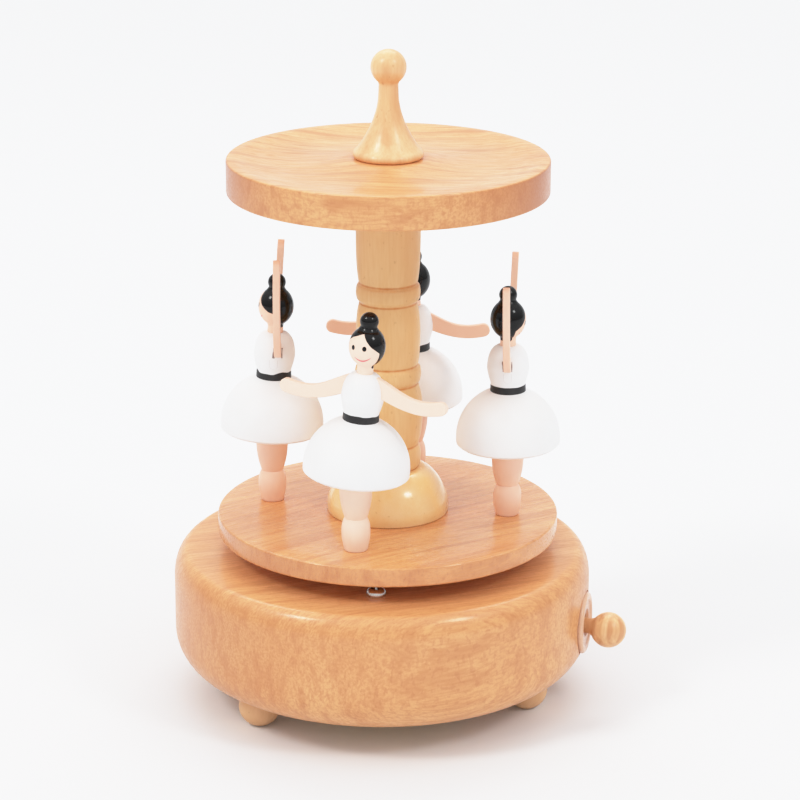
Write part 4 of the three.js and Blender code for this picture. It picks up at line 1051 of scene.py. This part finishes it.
class MUSICBOX_OT_dancers(bpy.types.Operator):
    """Turns and paints the four dancers and their flat arms"""

    bl_idname = "music_box.dancers"
    bl_label = "Dancers"

    def legs(self):
        return turned("legs", [
            (0, -3.0), (1.0, -3.0), (1.2, -2.8), (1.2, 0), (3.0, 0.0), (3.3, 0.12), (3.42, 0.4),
            *smooth([(3.55, 1.2), (3.95, 3.2), (4.12, 5.3), (4.0, 7.3), (3.55, 8.9), (3.22, 9.5)], 5),
            (3.14, 9.62), (3.22, 9.75),
            *smooth([(3.4, 10.2), (3.95, 12.2), (4.45, 15.0), (4.7, 18.5), (4.75, LEG_LENGTH)], 5),
            (4.75, LEG_LENGTH + 0.1), (2, LEG_LENGTH + 0.1), (2, LEG_LENGTH + 4.5), (0, LEG_LENGTH + 4.5),
        ], 64)

    def skirt(self, radius):
        centre = LEG_LENGTH + 2.3
        hem = -math.degrees(math.asin(2.3 / radius))
        up = math.degrees(math.acos(5.15 / radius))
        return turned("skirt", [
            (0, LEG_LENGTH + 0.1), (radius - 1.6, LEG_LENGTH), (radius - 1.0, LEG_LENGTH + 0.08),
            (radius - 0.55, LEG_LENGTH + 0.4), *arc((0, centre), radius, radius, hem + 3.2, up, 40),
            (5.0, SKIRT_TOP + 0.05), (0, SKIRT_TOP + 0.05),
        ], 128, 40)

    def torso(self):
        rise = TORSO_TOP - BELT_TOP
        return turned("torso", [
            (0, SKIRT_TOP - 1), (5.05, SKIRT_TOP - 1), (5.12, SKIRT_TOP - 0.2), (5.12, SKIRT_TOP + 0.4),
            (5.1, BELT_TOP - 0.6), (5.06, BELT_TOP - 0.15), (5.02, BELT_TOP),
            *smooth([(5.06, BELT_TOP + 0.25), (5.55, BELT_TOP + rise * 0.17), (6.0, BELT_TOP + rise * 0.38),
                     (5.88, BELT_TOP + rise * 0.58), (5.3, BELT_TOP + rise * 0.78),
                     (4.3, BELT_TOP + rise * 0.92), (3.2, TORSO_TOP - 0.12), (2.4, TORSO_TOP)], 7),
            (0, TORSO_TOP),
        ], 192, 45)

    def head(self):
        chin = -math.degrees(math.acos(2.3 / HEAD_RADIUS))
        bun = HEAD_MIDDLE + HEAD_HALF + 1.35
        return turned("head", [
            (0, TORSO_TOP - 1), (2.3, TORSO_TOP - 1), (2.3, TORSO_TOP + 0.3), (2.28, TORSO_TOP + 1.3),
            (2.32, TORSO_TOP + 2.0), *arc((0, HEAD_MIDDLE), HEAD_RADIUS, HEAD_HALF, chin + 3, 52, 60),
            *smooth([(3.02, bun - 2.45), (2.5, bun - 1.75), (2.36, bun - 1.3), (2.46, bun - 0.89)], 4),
            *arc((0, bun), 2.62, 2.6, -14, 90, 22),
        ], 144, 50)

    def arm(self, pose):
        upper, lower, hand = arm_edges(pose)
        outline = [*clipped(upper, SLOT_FLOOR), *hand, *reversed(clipped(lower, SLOT_FLOOR))]
        arm = plate("arm", outline, ARM_THICKNESS, 0.28)
        return move(arm, Matrix.Rotation(math.radians(90), 4, "Z"))

    def execute(self, context):
        sizes = context.scene.music_box_sizes
        colours = context.scene.music_box_colours
        white = matt_paint("White satin paint", colours.white)[0]
        bodice = painted_torso("White bodice with belt")
        skins = {
            "front": matt_paint("Cream skin paint", colours.cream, 0.42)[0],
            "other": matt_paint("Peach skin paint", colours.peach, 0.42)[0],
        }
        heads = {
            "front": painted_head("Head, cream skin", colours.cream),
            "other": painted_head("Head, peach skin", colours.peach),
        }
        patterns = {
            "legs": self.legs(), "skirt": self.skirt(sizes.skirt_radius / MM), "torso": self.torso(),
            "head": self.head(),
        }
        arms = {pose: self.arm(pose) for pose in ARM_LINES}
        # The parting's side, the hairline's drop, the hair's reach in degrees and the belt's waviness.
        painting = {
            "front": (1, 0.0, 68, 0.08), "right": (-1, 2.2, 60, 0.05), "back": (1, 0.0, 72, 0.1),
            "left": (1, 0.0, 88, 0.32),
        }
        opposite = Matrix.Rotation(math.pi, 4, "Z")
        for name, dancer in DANCERS.items():
            mirror, drop, reach, wave = painting[name]
            tone = "front" if name == "front" else "other"
            pieces = {kind: copied(pattern, f"{name}_dancer_{kind}") for kind, pattern in patterns.items()}
            paint_head(pieces["head"], mirror, drop, reach)
            arm_low = min(z for s, z in arm_edges(dancer["arms"])[1] if s < 6)
            shifts = [SET_IN[name, side][2] for side in ("left", "right")]
            paint_torso(pieces["torso"], wave, arm_low, dancer["arms"] != "spread", shifts)
            finishes = {"legs": skins[tone], "skirt": white, "torso": bodice, "head": heads[tone]}
            for kind, piece in pieces.items():
                short = Matrix.Diagonal((1, 1, 1 - dancer["sinks"] / LEG_LENGTH, 1))
                move(piece, doll_place(name) @ short if kind == "legs" else leaning(name))
                finished(piece, "carousel", f"doll_{kind}", [f"{name}_doll_{kind}"], finishes[kind])
            for side, turn in (("left", Matrix.Identity(4)), ("right", opposite)):
                arm = copied(arms[dancer["arms"]], f"{name}_dancer_{side}_arm")
                move(arm, leaning(name) @ set_in(*SET_IN[name, side]) @ turn)
                finished(arm, "carousel", "doll_arms", [f"{name}_doll_{side}_arm"], skins[tone])
        for pattern in (*patterns.values(), *arms.values()):
            bpy.data.objects.remove(pattern)
        return {"FINISHED"}


# ---------------------------------------------------------------- the stage


VIEW_TURN = 13.0  # the camera's azimuth and height above the floor's plane, in degrees
VIEW_HEIGHT = 17.85
VIEW_ROLL = 0.18
VIEW_DISTANCE = 873.5 * MM
VIEW_TARGET = Vector((-1.7, 0.8, 89.3)) * MM


class MUSICBOX_OT_stage(bpy.types.Operator):
    """Lays the pale floor and sets the soft lights and the camera"""

    bl_idname = "music_box.stage"
    bl_label = "Stage"

    def softbox(self, name, azimuth, height, distance, size, power, colour=(1, 1, 1)):
        """A square lamp aimed at the box's middle from so many degrees round and up."""
        data = bpy.data.lights.new(name, "AREA")
        data.shape = "RECTANGLE"
        data.size, data.size_y = size
        data.energy = power
        data.color = colour
        light = bpy.data.objects.new(name, data)
        bpy.context.scene.collection.objects.link(light)
        around, up = math.radians(azimuth), math.radians(height)
        aim = Vector((0, 0, 0.09))
        way = Vector((math.cos(up) * math.cos(around), math.cos(up) * math.sin(around), math.sin(up)))
        light.location = aim + distance * way
        light.rotation_euler = (light.location - aim).to_track_quat("Z", "Y").to_euler()

    def soften_whites(self, view):
        """Rolls the brightest values off below white, as a print does."""
        view.use_curve_mapping = True
        mapping = view.curve_mapping
        mapping.white_level = (1.3, 1.3, 1.3)
        curve = mapping.curves[3]
        curve.points[-1].location = (1, 0.935)
        for x, y in ((0.2, 0.255), (0.4, 0.515), (0.6, 0.74), (0.77, 0.86)):
            curve.points.new(x, y)
        mapping.update()

    def execute(self, context):
        scene = context.scene
        colours = scene.music_box_colours
        floor = chain("sweep", [(-4000, 0), (1000, 0), *arc((1000, 900), 900, 900, -90, 0, 24), (1900, 2600)])
        bpy.ops.mesh.extrude_region_move(TRANSFORM_OT_translate={"value": (0, 8, 0)})
        bpy.ops.mesh.select_all(action="SELECT")
        bpy.ops.transform.translate(value=(0, -4, 0))
        close_up(floor, 40)
        move(floor, Matrix.Rotation(math.radians(90 + VIEW_TURN), 4, "Z"))
        material, tree, shader, place = finish("Pale sweep", Roughness=0.9, Specular_IOR_Level=0.1)
        tone = ranged(tree, noise(tree, place, (3, 3, 3), 1.0), 0.3, 0.7)
        pale = tuple(colours.floor)
        tree.links.new(mixed(tree, tone, pale, tuple(c * 0.99 for c in pale)), shader.inputs["Base Color"])
        floor.data.materials.append(material)

        world = bpy.data.worlds.new("Soft room")
        scene.world = world
        world.use_nodes = True
        tree = world.node_tree
        sky = tree.nodes["Background"]
        sky.inputs["Color"].default_value = (0.98, 0.988, 1.0, 1)
        way = node(tree, "ShaderNodeTexCoord").outputs["Generated"]
        rise = node(tree, "ShaderNodeSeparateXYZ", Vector=way).outputs[2]
        tree.links.new(ranged(tree, rise, 0.0, 1.0, 0.5, 1.45), sky.inputs["Strength"])
        self.softbox("left softbox", -135, 46, 1.9, (0.4, 0.4), 10.5, (1.0, 0.99, 0.97))
        self.softbox("right softbox", -25, 42, 1.9, (0.36, 0.36), 6.5)
        self.softbox("backdrop light", 103, 55, 1.7, (1.6, 0.4), 9)

        turn, height = math.radians(VIEW_TURN), math.radians(VIEW_HEIGHT)
        level = math.cos(height)
        along = Vector((-math.sin(turn) * level, math.cos(turn) * level, -math.sin(height)))
        data = bpy.data.cameras.new("camera")
        data.lens = 135.75
        data.sensor_width = 36
        data.clip_start = 0.05
        camera = bpy.data.objects.new("camera", data)
        scene.collection.objects.link(camera)
        camera.location = VIEW_TARGET - along * VIEW_DISTANCE
        looking = along.to_track_quat("-Z", "Y") @ Quaternion((0, 0, 1), math.radians(VIEW_ROLL))
        camera.rotation_euler = looking.to_euler()
        scene.camera = camera
        scene.view_settings.view_transform = "Standard"
        self.soften_whites(scene.view_settings)
        return {"FINISHED"}


class MUSICBOX_PT_panel(bpy.types.Panel):
    """Lists the steps and the settings"""

    bl_idname = "MUSICBOX_PT_panel"
    bl_label = "Music box"
    bl_space_type = "VIEW_3D"
    bl_region_type = "UI"
    bl_category = "Music box"

    def draw(self, context):
        for step in STEPS:
            self.layout.operator(step.bl_idname)
        for group in (context.scene.music_box_sizes, context.scene.music_box_colours):
            for key in group.__annotations__:
                self.layout.prop(group, key)


STEPS = (
    MUSICBOX_OT_base, MUSICBOX_OT_knob, MUSICBOX_OT_screws, MUSICBOX_OT_movement, MUSICBOX_OT_disc,
    MUSICBOX_OT_column, MUSICBOX_OT_dancers, MUSICBOX_OT_stage,
)
CLASSES = (MusicBoxSizes, MusicBoxColours, *STEPS, MUSICBOX_PT_panel)


def register():
    for each in CLASSES:
        bpy.utils.register_class(each)
    bpy.types.Scene.music_box_sizes = PointerProperty(type=MusicBoxSizes)
    bpy.types.Scene.music_box_colours = PointerProperty(type=MusicBoxColours)


def unregister():
    del bpy.types.Scene.music_box_colours
    del bpy.types.Scene.music_box_sizes
    for each in reversed(CLASSES):
        bpy.utils.unregister_class(each)


def main():
    register()
    bpy.ops.music_box.base()
    bpy.ops.music_box.knob()
    bpy.ops.music_box.screws()
    bpy.ops.music_box.movement()
    bpy.ops.music_box.disc()
    bpy.ops.music_box.column()
    bpy.ops.music_box.dancers()
    bpy.ops.music_box.stage()


if __name__ == "__main__":
    main()
